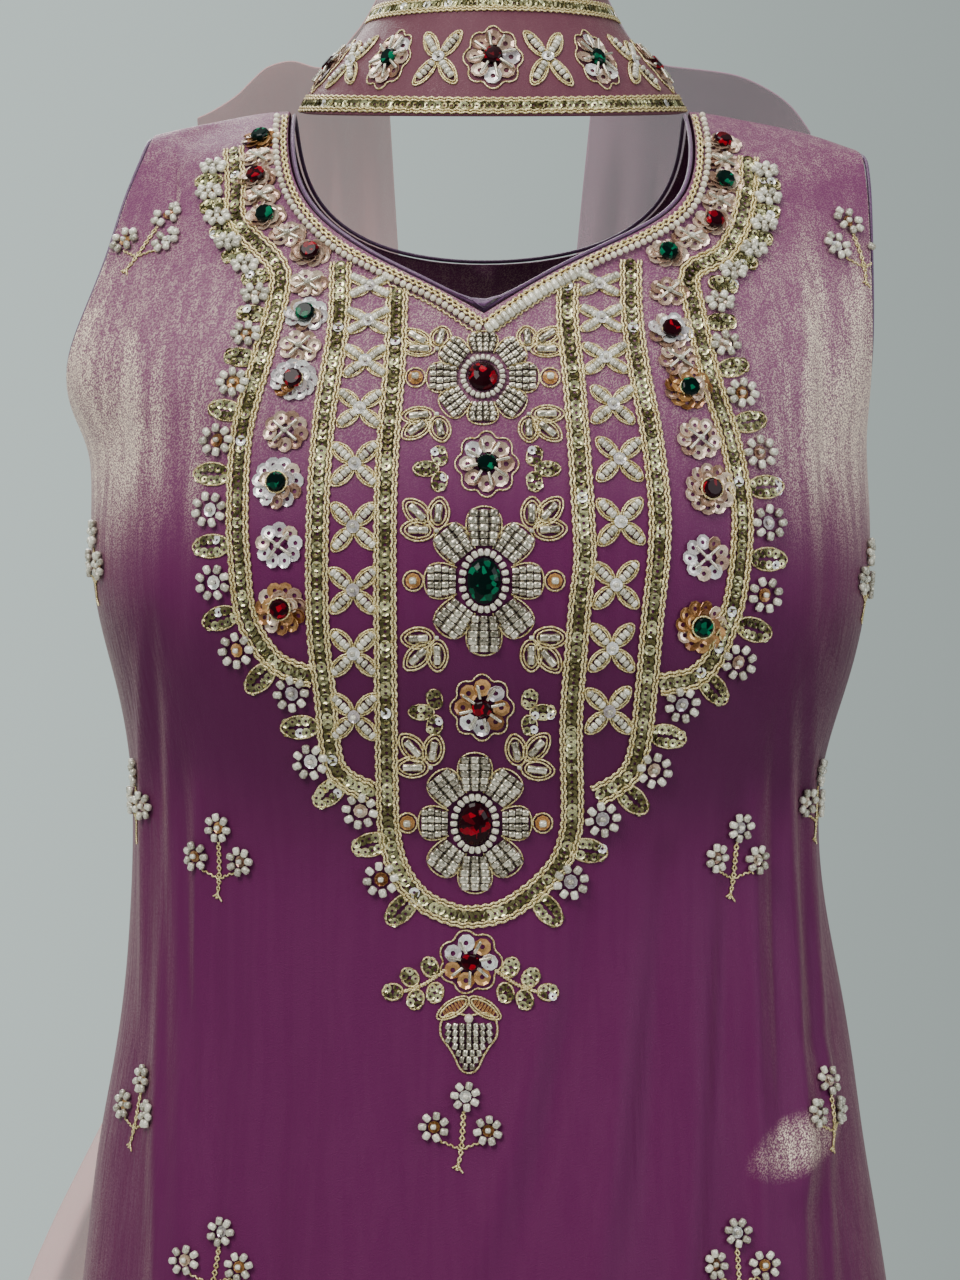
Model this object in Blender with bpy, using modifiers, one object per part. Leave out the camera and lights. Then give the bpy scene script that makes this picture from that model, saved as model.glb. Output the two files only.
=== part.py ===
"""Salwar kameez suit in worn form: kameez, salwar and dupatta.

Metres, +Z up. The suit faces -Y and +X is to the viewer's right. The origin is midway
between the neck points, on the line of the shoulder seams, where the wearer holds it up.
"Left" and "right" are the viewer's, looking at the front.
"""
import math
from collections import namedtuple

import bmesh
import bpy
from mathutils import Vector
from mathutils.bvhtree import BVHTree

# ---------------------------------------------------------------- driving sizes
SUIT = "salwar_kameez_suit"
WALL = 0.0012                 # thickness of every cloth wall
SEAM_GAP = 0.0004             # between two pieces along a seam
SEAM_STRIP = 0.003            # flat strip beside a seam, so both rims lie in one plane
RIM_STRIP = 0.4               # share of a row's last column that lies flat beside a raw edge
TRIM_LIFT = 0.00095           # raised trim above the panel that it is sewn to
ROUNDNESS = 2.3               # exponent of the torso's cross section
SEAM_SQUARENESS = 0.46        # squareness of that section where the side seam closes it

UNDERARM_Z = -0.155
SLIT_TOP_Z = -0.620
HEM_Z = -1.000
BACK_NECK_Z = -0.062
HALF_COLUMNS = 11             # columns of a panel from its middle to one side
STRAP_ROWS = 8                # rows of a panel from the shoulder seam to the middle of its neck
STRAP_CROWDING = 1.5          # above 1, those rows crowd towards the shoulder
INSIDE_DROP = 0.12            # a point this far below an edge lies inside the torso

BINDING_RADIUS = 0.0011
BINDING_GAP = 0.0008          # between a piped edge and the raw edge that it covers
BAND_WIDTH = 0.0092
BAND_HEIGHT = 0.0016

SHARP_ANGLE = math.radians(50)
CURVE_STEPS = 12              # points of a smooth curve between two of its stations

LEFT, RIGHT = -1, 1
FRONT, BACK = -1, 1

# ---------------------------------------------------------------- the torso's tables
# Depth of the cloth ahead of and behind the side seams, by drop below the shoulder line.
Depth = namedtuple("Depth", "drop front back")
DEPTHS = (
    Depth(0.000, 0.000, 0.000),
    Depth(0.004, 0.018, 0.017),
    Depth(0.012, 0.034, 0.031),
    Depth(0.025, 0.050, 0.045),
    Depth(0.050, 0.070, 0.062),
    Depth(0.100, 0.092, 0.084),
    Depth(0.155, 0.112, 0.096),
    Depth(0.200, 0.122, 0.098),
    Depth(0.250, 0.117, 0.092),
    Depth(0.300, 0.105, 0.084),
    Depth(0.350, 0.098, 0.082),
    Depth(0.400, 0.099, 0.088),
    Depth(0.460, 0.105, 0.103),
    Depth(0.530, 0.112, 0.117),
    Depth(0.620, 0.119, 0.126),
    Depth(0.800, 0.130, 0.134),
    Depth(1.000, 0.142, 0.144),
)

# Outer edge of both panels: the armhole down to the underarm, then the side seam, then
# the slit. front and back are how far that edge lies from the side plane.
Edge = namedtuple("Edge", "z left right front back squareness")
EDGES = (
    Edge(-0.012, 0.149, 0.166, 0.000, 0.000, 1.00),
    Edge(-0.0145, 0.150, 0.168, 0.008, 0.008, 1.00),
    Edge(-0.022, 0.152, 0.170, 0.015, 0.014, 1.00),
    Edge(-0.043, 0.159, 0.171, 0.026, 0.024, 0.95),
    Edge(-0.069, 0.166, 0.171, 0.034, 0.030, 0.86),
    Edge(-0.103, 0.179, 0.171, 0.040, 0.034, 0.74),
    Edge(-0.118, 0.185, 0.171, 0.038, 0.032, 0.66),
    Edge(-0.130, 0.186, 0.171, 0.030, 0.026, 0.58),
    Edge(-0.142, 0.183, 0.171, 0.018, 0.016, 0.51),
    Edge(-0.155, 0.176, 0.172, 0.000, 0.000, SEAM_SQUARENESS),
    Edge(-0.199, 0.178, 0.175, 0.000, 0.000, SEAM_SQUARENESS),
    Edge(-0.231, 0.175, 0.172, 0.000, 0.000, SEAM_SQUARENESS),
    Edge(-0.267, 0.163, 0.162, 0.000, 0.000, SEAM_SQUARENESS),
    Edge(-0.308, 0.158, 0.149, 0.000, 0.000, SEAM_SQUARENESS),
    Edge(-0.340, 0.158, 0.151, 0.000, 0.000, SEAM_SQUARENESS),
    Edge(-0.370, 0.160, 0.155, 0.000, 0.000, SEAM_SQUARENESS),
    Edge(-0.411, 0.163, 0.164, 0.000, 0.000, SEAM_SQUARENESS),
    Edge(-0.460, 0.173, 0.170, 0.000, 0.000, SEAM_SQUARENESS),
    Edge(-0.531, 0.181, 0.182, 0.000, 0.000, SEAM_SQUARENESS),
    Edge(-0.620, 0.191, 0.192, 0.000, 0.000, SEAM_SQUARENESS),
    Edge(-0.800, 0.206, 0.207, 0.014, 0.014, 0.50),
    Edge(-1.000, 0.221, 0.223, 0.034, 0.034, 0.55),
)

# Rows of both panels below the neck, by the height where each stretch ends.
Stretch = namedtuple("Stretch", "end_z rows")
PANEL_STRETCHES = (
    Stretch(UNDERARM_Z, 3),
    Stretch(-0.500, 10),
    Stretch(SLIT_TOP_Z, 3),
    Stretch(HEM_Z, 5),
)

# Shoulder seam, from the neck point out to the tip.
Ridge = namedtuple("Ridge", "x z")
SHOULDER = (
    Ridge(0.000, -0.001),
    Ridge(0.090, -0.001),
    Ridge(0.123, -0.006),
    Ridge(0.148, -0.0115),
    Ridge(0.172, -0.020),
)

# Neck edges, from the neck point down to the middle.
Neck = namedtuple("Neck", "left_x left_z right_x right_z")
FRONT_NECK = (
    Neck(0.0880, -0.0010, 0.0930, -0.0010),
    Neck(0.0870, -0.0220, 0.0940, -0.0210),
    Neck(0.0830, -0.0405, 0.0915, -0.0385),
    Neck(0.0748, -0.0547, 0.0845, -0.0525),
    Neck(0.0597, -0.0691, 0.0695, -0.0630),
    Neck(0.0370, -0.0817, 0.0480, -0.0735),
    Neck(0.0180, -0.0905, 0.0225, -0.0860),
    Neck(0.0000, -0.1015, 0.0000, -0.1015),
)
BACK_NECK = (
    Neck(0.0880, -0.0010, 0.0930, -0.0010),
    Neck(0.0865, -0.0180, 0.0920, -0.0180),
    Neck(0.0810, -0.0330, 0.0860, -0.0330),
    Neck(0.0690, -0.0460, 0.0730, -0.0460),
    Neck(0.0490, -0.0560, 0.0520, -0.0560),
    Neck(0.0250, -0.0608, 0.0260, -0.0608),
    Neck(0.0000, BACK_NECK_Z, 0.0000, BACK_NECK_Z),
)

# Soft folds, each a ridge (height above 0) or a trough that runs from its top to its end.
Fold = namedtuple("Fold", "top_x top_z end_x end_z width height")
FRONT_FOLDS = (
    Fold(-0.146, -0.250, -0.170, -1.000, 0.009, 0.0040),
    Fold(-0.127, -0.280, -0.136, -1.000, 0.011, -0.0045),
    Fold(-0.098, -0.330, -0.106, -1.000, 0.015, 0.0065),
    Fold(-0.040, -0.420, -0.062, -1.000, 0.018, -0.0070),
    Fold(0.006, -0.470, -0.008, -1.000, 0.020, 0.0080),
    Fold(0.052, -0.400, 0.046, -1.000, 0.018, -0.0070),
    Fold(0.098, -0.340, 0.104, -1.000, 0.016, 0.0065),
    Fold(0.124, -0.260, 0.140, -1.000, 0.011, -0.0045),
    Fold(0.141, -0.250, 0.174, -1.000, 0.009, 0.0040),
    Fold(-0.150, -0.050, -0.166, -0.190, 0.007, 0.0030),
    Fold(0.150, -0.060, 0.160, -0.210, 0.008, 0.0025),
)
BACK_FOLDS = (
    Fold(-0.140, -0.260, -0.160, -1.000, 0.011, 0.0045),
    Fold(-0.105, -0.330, -0.118, -1.000, 0.014, -0.0055),
    Fold(-0.060, -0.400, -0.070, -1.000, 0.017, 0.0070),
    Fold(-0.012, -0.450, -0.018, -1.000, 0.018, -0.0070),
    Fold(0.036, -0.420, 0.034, -1.000, 0.018, 0.0075),
    Fold(0.080, -0.360, 0.086, -1.000, 0.016, -0.0060),
    Fold(0.118, -0.300, 0.130, -1.000, 0.013, 0.0055),
    Fold(0.143, -0.260, 0.166, -1.000, 0.010, -0.0040),
)
FOLD_FADE_DEPTH = 0.030       # folds die out this close to a side seam
FOLD_RISE = 3                 # a fold that runs to the hem is full after one part in so many
FOLD_REACH = 1.08             # such a fold is cut off this far along, past the hem

# ---------------------------------------------------------------- the yoke's tables
# A gold band runs through its stations: x across and z down the front panel.
Station = namedtuple("Station", "x z")
GOLD_BANDS = {
    "gold_band_outer_left": (
        Station(-0.1115, -0.021), Station(-0.1090, -0.040), Station(-0.1070, -0.058),
        Station(-0.0895, -0.078), Station(-0.0880, -0.092), Station(-0.0945, -0.120),
        Station(-0.1025, -0.152), Station(-0.1040, -0.187), Station(-0.1030, -0.206),
        Station(-0.1010, -0.226), Station(-0.0965, -0.238), Station(-0.0880, -0.249),
        Station(-0.0775, -0.254),
    ),
    "gold_band_outer_right": (
        Station(0.1170, -0.026), Station(0.1160, -0.040), Station(0.1110, -0.060),
        Station(0.1030, -0.073), Station(0.0890, -0.082), Station(0.0900, -0.098),
        Station(0.0970, -0.131), Station(0.1040, -0.154), Station(0.1085, -0.178),
        Station(0.1090, -0.197), Station(0.1060, -0.222), Station(0.1010, -0.238),
        Station(0.0960, -0.249), Station(0.0880, -0.256), Station(0.0790, -0.258),
    ),
    "gold_band_second_left": (
        Station(-0.0615, -0.078), Station(-0.0620, -0.108), Station(-0.0670, -0.144),
        Station(-0.0695, -0.186), Station(-0.0695, -0.234), Station(-0.0665, -0.264),
        Station(-0.0640, -0.290), Station(-0.0580, -0.299), Station(-0.0475, -0.304),
    ),
    "gold_band_second_right": (
        Station(0.0630, -0.077), Station(0.0630, -0.102), Station(0.0660, -0.128),
        Station(0.0705, -0.154), Station(0.0735, -0.184), Station(0.0730, -0.206),
        Station(0.0705, -0.230), Station(0.0685, -0.256), Station(0.0655, -0.285),
        Station(0.0600, -0.298), Station(0.0470, -0.306),
    ),
    "gold_band_inner": (
        Station(-0.0370, -0.090), Station(-0.0378, -0.123), Station(-0.0400, -0.154),
        Station(-0.0412, -0.186), Station(-0.0412, -0.242), Station(-0.0408, -0.300),
        Station(-0.0400, -0.321), Station(-0.0360, -0.337), Station(-0.0267, -0.3495),
        Station(-0.0135, -0.3560), Station(-0.0040, -0.3570), Station(0.0082, -0.3545),
        Station(0.0208, -0.3465), Station(0.0315, -0.3350), Station(0.0365, -0.3215),
        Station(0.0372, -0.308), Station(0.0365, -0.276), Station(0.0380, -0.250),
        Station(0.0400, -0.225), Station(0.0420, -0.207), Station(0.0415, -0.190),
        Station(0.0398, -0.160), Station(0.0378, -0.130), Station(0.0355, -0.104),
        Station(0.0358, -0.088),
    ),
}
NORMAL_STEP = 0.004           # reach of the panel's smooth normal, each way
BAND_STEP = 0.0095            # length of one straight piece of a band

# Large flowers down the middle: petals round an oval or round glass stone.
Flower = namedtuple("Flower", "x z width height stone_width stone_height")
CENTRE_FLOWERS = (
    Flower(-0.0005, -0.1300, 0.0468, 0.0380, 0.0125, 0.0115),
    Flower(0.0000, -0.2155, 0.0490, 0.0610, 0.0140, 0.0190),
    Flower(-0.0038, -0.3170, 0.0470, 0.0590, 0.0135, 0.0185),
)
PETALS = 8
PETAL_HEIGHT = 0.0016
PETAL_NOTCH = 0.22            # depth of the dip between two petals, as a share of their reach
BACK_RINGS = (0.12, 0.28)     # rings of a flower's underside, as shares of its width
CENTRE_STONE_HEIGHT = 0.0042
FLOWER_POINTS = 24

# Round stones in the side columns.
Stone = namedtuple("Stone", "x z glass")
SIDE_STONES = (
    Stone(-0.0985, -0.0190, "emerald"), Stone(-0.0990, -0.0385, "ruby"),
    Stone(-0.0940, -0.0570, "emerald"), Stone(-0.0742, -0.0745, "ruby"),
    Stone(-0.0755, -0.1020, "emerald"), Stone(-0.0800, -0.1305, "ruby"),
    Stone(-0.0860, -0.1745, "emerald"), Stone(-0.0845, -0.2265, "ruby"),
    Stone(0.1050, -0.0215, "ruby"), Stone(0.1045, -0.0405, "emerald"),
    Stone(0.0990, -0.0595, "ruby"), Stone(0.0785, -0.0745, "emerald"),
    Stone(0.0790, -0.1090, "ruby"), Stone(0.0860, -0.1340, "emerald"),
    Stone(0.0945, -0.1770, "ruby"), Stone(0.0905, -0.2340, "emerald"),
)
STONE_WIDTH = 0.0085
STONE_HEIGHT = 0.0040
STONE_POINTS = 8
GIRDLE = 0.6                  # share of a round stone's height and width where its top slopes in
CENTRE_GIRDLE = 0.4           # the same, of an oval stone's height

# ---------------------------------------------------------------- the salwar's tables
SALWAR_WAIST_Z = -0.345
BELT_MIDDLE_Z = -0.395
BELT_END_Z = -0.445
CROTCH_START_Z = -0.620
CROTCH_Z = -0.735
CUFF_Z = -1.288
ANKLE_Z = -1.336
BELT_COLUMNS = 24
LEG_COLUMNS = 24
LEG_PLEATS = 6
CROTCH_Y = 0.006
HIP_ROWS = (BELT_END_Z - SEAM_GAP, -0.480, -0.530, -0.575)
CROTCH_BLENDS = (0.0, 0.06, 0.2, 0.42, 0.7)     # shares of leg in the rows round the crotch
LEG_ROWS = (CROTCH_Z, -0.800, -0.880, -0.980, -1.080, -1.180, -1.245, CUFF_Z)
PLEAT_AXIS_X = 0.090          # a leg's pleats stand out from this upright line
HIP_PLEAT = 0.0025            # depth of the pleats where they start, below the belt
HIP_PLEAT_RUN = 0.150         # they reach a leg's full depth this far below the belt
PLEAT_FADE = 8                # they die out over one part in so many, beside the inner seam

Waist = namedtuple("Waist", "z side front back")
SALWAR_TORSO = (
    Waist(-0.345, 0.135, 0.078, 0.062),
    Waist(-0.400, 0.141, 0.080, 0.069),
    Waist(-0.445, 0.150, 0.084, 0.080),
    Waist(-0.530, 0.161, 0.091, 0.094),
    Waist(-0.620, 0.170, 0.096, 0.102),
    Waist(-0.735, 0.177, 0.100, 0.104),
)
Leg = namedtuple("Leg", "z centre half_width depth pleat")
SALWAR_LEG = (
    Leg(-0.735, 0.0890, 0.0888, 0.1077, 0.0050),
    Leg(-0.800, 0.0955, 0.0850, 0.100, 0.0080),
    Leg(-0.860, 0.0980, 0.0830, 0.096, 0.0100),
    Leg(-1.020, 0.1000, 0.0800, 0.091, 0.0120),
    Leg(-1.180, 0.1000, 0.0720, 0.083, 0.0120),
    Leg(-1.250, 0.1000, 0.0620, 0.072, 0.0080),
    Leg(-1.288, 0.1000, 0.0530, 0.062, 0.0015),
)
CUFF_HALF_WIDTH = 0.0530
CUFF_DEPTH = 0.0620
CUFF_FLARE = 0.0020

# ---------------------------------------------------------------- the dupatta's tables
NECK_COLUMNS = 20
DRAPE_COLUMNS = 24
DRAPE_PLEATS = 6
SHOULDER_ROWS = 6
SHOULDER_CROWDING = 1.7       # above 1, those rows crowd towards the crest
TAIL_ROWS = 9
DRAPE_ROUNDNESS = 2.4         # exponent of the drape's cross section
PLEAT_SETTLE = 0.060          # the drape's pleats reach full depth this far below its crest
DRAPE_LIFT = 0.0204           # how far behind the shoulder seam the drape starts
DRAPE_JOIN_Z = -0.150         # where the shoulder stretch gives way to the tail
DRAPE_END_Z = -0.985

# The stretch across the front of the neck, from its lower edge up.
NeckWrap = namedtuple("NeckWrap", "z sag half_width depth")
NECK_WRAP = (
    NeckWrap(0.0032, 0.0148, 0.0895, 0.0800),
    NeckWrap(0.0100, 0.0130, 0.0865, 0.0785),
    NeckWrap(0.0200, 0.0085, 0.0790, 0.0730),
    NeckWrap(0.0350, 0.0055, 0.0640, 0.0640),
    NeckWrap(0.0470, 0.0040, 0.0560, 0.0590),
    NeckWrap(0.0560, 0.0030, 0.0525, 0.0565),
    NeckWrap(0.0610, 0.0028, 0.0515, 0.0560),
)
NECK_WRAP_X = 0.0040
NECK_WRAP_Y = 0.0200

# Top of the drape over each shoulder, from beside the neck outwards.
DRAPE_TOP_LEFT = (
    Ridge(0.0475, 0.0600), Ridge(0.0600, 0.0390), Ridge(0.0740, 0.0240),
    Ridge(0.0860, 0.0275), Ridge(0.0960, 0.0250), Ridge(0.1080, 0.0110),
    Ridge(0.1220, 0.0010), Ridge(0.1600, -0.0100),
)
DRAPE_TOP_RIGHT = (
    Ridge(0.0555, 0.0600), Ridge(0.0680, 0.0390), Ridge(0.0820, 0.0265),
    Ridge(0.1165, 0.0210), Ridge(0.1320, 0.0140), Ridge(0.1440, 0.0040),
    Ridge(0.1500, -0.0060), Ridge(0.1700, -0.0120),
)
# Inner and outer edge of each side's drape, down the back.
Drape = namedtuple("Drape", "z left_in left_out right_in right_out spread pleat")
DRAPE = (
    Drape(0.060, 0.0480, 0.1220, 0.0560, 0.1500, 0.240, 0.0015),
    Drape(-0.060, 0.0420, 0.1420, 0.0450, 0.1520, 0.230, 0.0045),
    Drape(-0.150, 0.0360, 0.1500, 0.0380, 0.1550, 0.225, 0.0070),
    Drape(-0.300, 0.0320, 0.1500, 0.0340, 0.1500, 0.225, 0.0085),
    Drape(-0.420, 0.0340, 0.1560, 0.0340, 0.1500, 0.240, 0.0090),
    Drape(-0.500, 0.0400, 0.2000, 0.0340, 0.1520, 0.290, 0.0095),
    Drape(-0.580, 0.0480, 0.2420, 0.0340, 0.1560, 0.330, 0.0100),
    Drape(-0.750, 0.0600, 0.2600, 0.0340, 0.1640, 0.340, 0.0105),
    Drape(-0.985, 0.0700, 0.2720, 0.0340, 0.1720, 0.350, 0.0110),
)

# ---------------------------------------------------------------- finishes
Finish = namedtuple("Finish", "colour roughness metallic")
FINISHES = {
    "plum_tissue": Finish((0.130, 0.030, 0.110, 1.0), 0.42, 0.25),
    "piping": Finish((0.050, 0.010, 0.045, 1.0), 0.50, 0.10),
    "gold": Finish((0.520, 0.400, 0.150, 1.0), 0.35, 0.80),
    "silver_beads": Finish((0.720, 0.690, 0.640, 1.0), 0.30, 0.30),
    "ruby": Finish((0.190, 0.004, 0.012, 1.0), 0.08, 0.00),
    "emerald": Finish((0.000, 0.090, 0.050, 1.0), 0.08, 0.00),
    "mauve_tissue": Finish((0.420, 0.190, 0.260, 1.0), 0.45, 0.15),
    "plum_cotton": Finish((0.110, 0.028, 0.095, 1.0), 0.75, 0.00),
}


# ---------------------------------------------------------------- helpers
def smooth(table, key, column, at):
    """A column of a table at a value of its key, on a smooth curve through the rows."""
    rows = sorted(table, key=lambda row: getattr(row, key))
    keys = [getattr(row, key) for row in rows]
    values = [getattr(row, column) for row in rows]
    if at <= keys[0]:
        return values[0]
    if at >= keys[-1]:
        return values[-1]
    slopes = [(values[i + 1] - values[i]) / (keys[i + 1] - keys[i])
              for i in range(len(keys) - 1)]
    ends = [slopes[0]]
    for before, after in zip(slopes, slopes[1:]):
        together = before * after
        ends.append(2 * together / (before + after) if together > 0 else 0.0)
    ends.append(slopes[-1])
    i = next(i for i in range(len(keys) - 1) if at <= keys[i + 1])
    step = keys[i + 1] - keys[i]
    t = (at - keys[i]) / step
    return (values[i] * (1 + 2 * t) * (1 - t) ** 2
            + ends[i] * step * t * (1 - t) ** 2
            + values[i + 1] * t * t * (3 - 2 * t)
            + ends[i + 1] * step * t * t * (t - 1))


def blend(start, end, t):
    """The value a fraction t of the way from start to end."""
    return start + (end - start) * t


def ease(t):
    """0 to 1 with a soft start and end."""
    t = min(1.0, max(0.0, t))
    return t * t * (3 - 2 * t)


def through(points, spacing):
    """Points about one spacing apart on a smooth curve through the given ones."""
    fine = []
    last = len(points) - 1
    for i in range(last):
        before = points[max(0, i - 1)]
        after = points[min(last, i + 2)]
        start, end = points[i], points[i + 1]
        for k in range(CURVE_STEPS):
            t = k / CURVE_STEPS
            fine.append(0.5 * ((2 * start) + (end - before) * t
                               + (2 * before - 5 * start + 4 * end - after) * t ** 2
                               + (3 * start - before - 3 * end + after) * t ** 3))
    fine.append(points[-1])
    lengths = [0.0]
    for a, b in zip(fine, fine[1:]):
        lengths.append(lengths[-1] + (b - a).length)
    count = max(2, round(lengths[-1] / spacing))
    result = []
    j = 0
    for k in range(count + 1):
        goal = lengths[-1] * k / count
        while j < len(fine) - 2 and lengths[j + 1] < goal:
            j += 1
        run = lengths[j + 1] - lengths[j]
        result.append(fine[j].lerp(fine[j + 1], (goal - lengths[j]) / run if run else 0.0))
    return result


def material(name):
    """The Principled material of a finish, made once."""
    made = bpy.data.materials.get(name)
    if made:
        return made
    finish = FINISHES[name]
    made = bpy.data.materials.new(name)
    made.use_nodes = True
    shader = made.node_tree.nodes["Principled BSDF"]
    shader.inputs["Base Color"].default_value = finish.colour
    shader.inputs["Roughness"].default_value = finish.roughness
    shader.inputs["Metallic"].default_value = finish.metallic
    made.diffuse_color = finish.colour
    return made


def add_object(name, mesh, finish):
    """Link a mesh to the suit's collection under its name, with its finish."""
    piece = bpy.data.objects.new(name, mesh)
    mesh.materials.append(material(finish))
    bpy.data.collections[SUIT].objects.link(piece)
    return piece


def add_wall(name, sheet, finish):
    """Make a piece of cloth from an open surface whose faces point outwards."""
    mesh = bpy.data.meshes.new(name)
    sheet.to_mesh(mesh)
    sheet.free()
    mesh.shade_smooth()
    mesh.set_sharp_from_angle(angle=SHARP_ANGLE)
    piece = add_object(name, mesh, finish)
    wall = piece.modifiers.new("wall", "SOLIDIFY")
    wall.thickness = WALL
    wall.offset = -1.0
    return piece


def add_grid(sheet, rows, flip=False):
    """Skin rows of points, all of one length, with four-sided faces."""
    skin = [[sheet.verts.new(point) for point in row] for row in rows]
    for upper, lower in zip(skin, skin[1:]):
        for j in range(len(upper) - 1):
            corners = (upper[j], lower[j], lower[j + 1], upper[j + 1])
            sheet.faces.new(reversed(corners) if flip else corners)


def weld(sheet):
    """Join grids that share points and refresh the normals."""
    bmesh.ops.remove_doubles(sheet, verts=sheet.verts, dist=0.00001)
    sheet.normal_update()


# ---------------------------------------------------------------- kameez
def shoulder_z(x):
    """Height of the shoulder line at a distance from the middle."""
    return smooth(SHOULDER, "x", "z", abs(x))


def edge_x(side, z):
    """How far out the armhole, side seam or slit lies."""
    return smooth(EDGES, "z", "left" if side == LEFT else "right", z)


def cloth_y(side, face, x, z):
    """Depth position of a panel at a point of its front view."""
    column = "front" if face == FRONT else "back"
    at_edge = smooth(EDGES, "z", column, z)
    drop = max(0.0, shoulder_z(x) - z)
    at_middle = max(smooth(DEPTHS, "drop", column, drop), 0.0)
    across = min(1.0, abs(x) / edge_x(side, z))
    crown = (1 - across ** ROUNDNESS) ** smooth(EDGES, "z", "squareness", z)
    depth = at_edge + (at_middle - at_edge) * crown
    return face * max(depth, SEAM_GAP / 2)


def neck_point(table, side, t):
    """Point of a neck edge, from the neck point at 0 to the middle at 1."""
    rows = [Vector((side * (row.left_x if side == LEFT else row.right_x), 0.0,
                    row.left_z if side == LEFT else row.right_z)) for row in table]
    place = t * (len(rows) - 1)
    i = min(int(place), len(rows) - 2)
    before = rows[max(0, i - 1)]
    after = rows[min(len(rows) - 1, i + 2)]
    u = place - i
    return 0.5 * ((2 * rows[i]) + (rows[i + 1] - before) * u
                  + (2 * before - 5 * rows[i] + 4 * rows[i + 1] - after) * u ** 2
                  + (3 * rows[i] - before - 3 * rows[i + 1] + after) * u ** 3)


def across_row(side, face, inner_x, inner_z, outer_z):
    """One row of half a panel, from its inner point out to the armhole or side seam."""
    reach = min(1.0, abs(inner_x) / edge_x(side, inner_z))
    start = math.asin(reach ** (ROUNDNESS / 2))
    flat = (smooth(EDGES, "z", "squareness", outer_z) - SEAM_SQUARENESS) / (1 - SEAM_SQUARENESS)
    points = []
    for j in range(HALF_COLUMNS):
        s = j / (HALF_COLUMNS - 1)
        z = blend(inner_z, outer_z, s)
        rounded = math.sin(blend(start, math.pi / 2, s)) ** (2 / ROUNDNESS)
        x = side * edge_x(side, z) * blend(rounded, blend(reach, 1.0, s), flat)
        points.append(Vector((x, cloth_y(side, face, x, z), z)))
    outer = points[-1]
    if SLIT_TOP_Z - 0.001 < outer_z <= UNDERARM_Z + 0.001:
        strip = Vector((0.0, face * SEAM_STRIP, 0.0))
    else:
        strip = (points[-2] - outer) * RIM_STRIP
    points.insert(-1, outer + strip)
    return points


def strap_rows(side, face, table):
    """Rows from the shoulder seam down to the middle of the neck edge."""
    tip = edge_x(side, EDGES[0].z)
    lowest = table[-1].left_z
    rows = []
    for depth in (SEAM_GAP / 2, SEAM_STRIP + SEAM_GAP / 2):
        row = across_row(side, face, abs(neck_point(table, side, 0).x), EDGES[0].z, EDGES[0].z)
        row = [Vector((p.x, face * depth, shoulder_z(p.x))) for p in row]
        rows.append(row)
    tip_z = shoulder_z(tip)
    for k in range(1, STRAP_ROWS + 1):
        t = (k / STRAP_ROWS) ** STRAP_CROWDING
        inner = neck_point(table, side, t)
        row = across_row(side, face, abs(inner.x), inner.z, blend(tip_z, lowest, t))
        rows.append(row)
    return rows


def full_rows(side, face, top_z):
    """Rows from the middle of the neck edge down to the hem."""
    heights = []
    start_z = top_z
    for stretch in PANEL_STRETCHES:
        heights += [blend(start_z, stretch.end_z, k / stretch.rows)
                    for k in range(1, stretch.rows + 1)]
        start_z = stretch.end_z
    return [across_row(side, face, 0.0, z, z) for z in heights]


def fold_height(folds, x, z):
    """How far the folds push the cloth out at a point of its front view."""
    total = 0.0
    for fold in folds:
        t = (fold.top_z - z) / (fold.top_z - fold.end_z)
        if not 0.0 < t < FOLD_REACH:
            continue
        middle = blend(fold.top_x, fold.end_x, t)
        to_hem = fold.end_z <= HEM_Z
        rise = ease(t * FOLD_RISE) if to_hem else math.sin(math.pi * min(t, 1.0))
        total += fold.height * rise * math.exp(-((x - middle) / fold.width) ** 2)
    return total


def panel_points(face, table, side):
    """All rows of half a panel before its folds."""
    return strap_rows(side, face, table) + full_rows(side, face, table[-1].left_z)


def add_panel(name, face, table, folds):
    """Front or back of the kameez, left and right half welded down the middle."""
    sheet = bmesh.new()
    for side in (LEFT, RIGHT):
        add_grid(sheet, panel_points(face, table, side), flip=side * face < 0)
    weld(sheet)
    moves = []
    for vert in sheet.verts:
        side = LEFT if vert.co.x < 0 else RIGHT
        column = "front" if face == FRONT else "back"
        margin = abs(vert.co.y) - smooth(EDGES, "z", column, vert.co.z)
        fade = ease(margin / FOLD_FADE_DEPTH)
        moves.append(vert.normal * fold_height(folds, vert.co.x, vert.co.z) * fade)
    for vert, move in zip(sheet.verts, moves):
        vert.co += move
    return add_wall(name, sheet, "plum_tissue")


def add_piping(name, edges, outs):
    """A closed piped edge inside an opening, just off the raw edges of the panels."""
    curve = bpy.data.curves.new(name, "CURVE")
    curve.dimensions = "3D"
    curve.bevel_depth = BINDING_RADIUS
    curve.bevel_resolution = 0
    spline = curve.splines.new("POLY")
    spline.points.add(len(edges) - 1)
    spline.use_cyclic_u = True
    middle = sum(edges, Vector()) / len(edges)
    for i, (edge, out) in enumerate(zip(edges, outs)):
        ways = []
        for run in (edge - edges[i - 1], edges[(i + 1) % len(edges)] - edge):
            way = out.cross(run).normalized()
            ways.append(way if way.dot(middle - edge) > 0 else -way)
        way = (ways[0] + ways[1]).normalized()
        reach = (BINDING_RADIUS + BINDING_GAP) / max(0.5, way.dot(ways[0]))
        spline.points[i].co = (*(edge - out * WALL / 2 + way * reach), 1.0)
    return add_object(name, curve, "piping")


def panel_normal(rows, i, j):
    """Outward normal of a row grid at one of its points."""
    down = rows[min(i + 1, len(rows) - 1)][j] - rows[max(i - 1, 0)][j]
    over = rows[i][min(j + 1, len(rows[i]) - 1)] - rows[i][max(j - 1, 0)]
    normal = down.cross(over).normalized()
    middle = Vector((0.0, 0.0, rows[i][j].z - INSIDE_DROP))
    return normal if normal.dot(rows[i][j] - middle) > 0 else -normal


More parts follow.
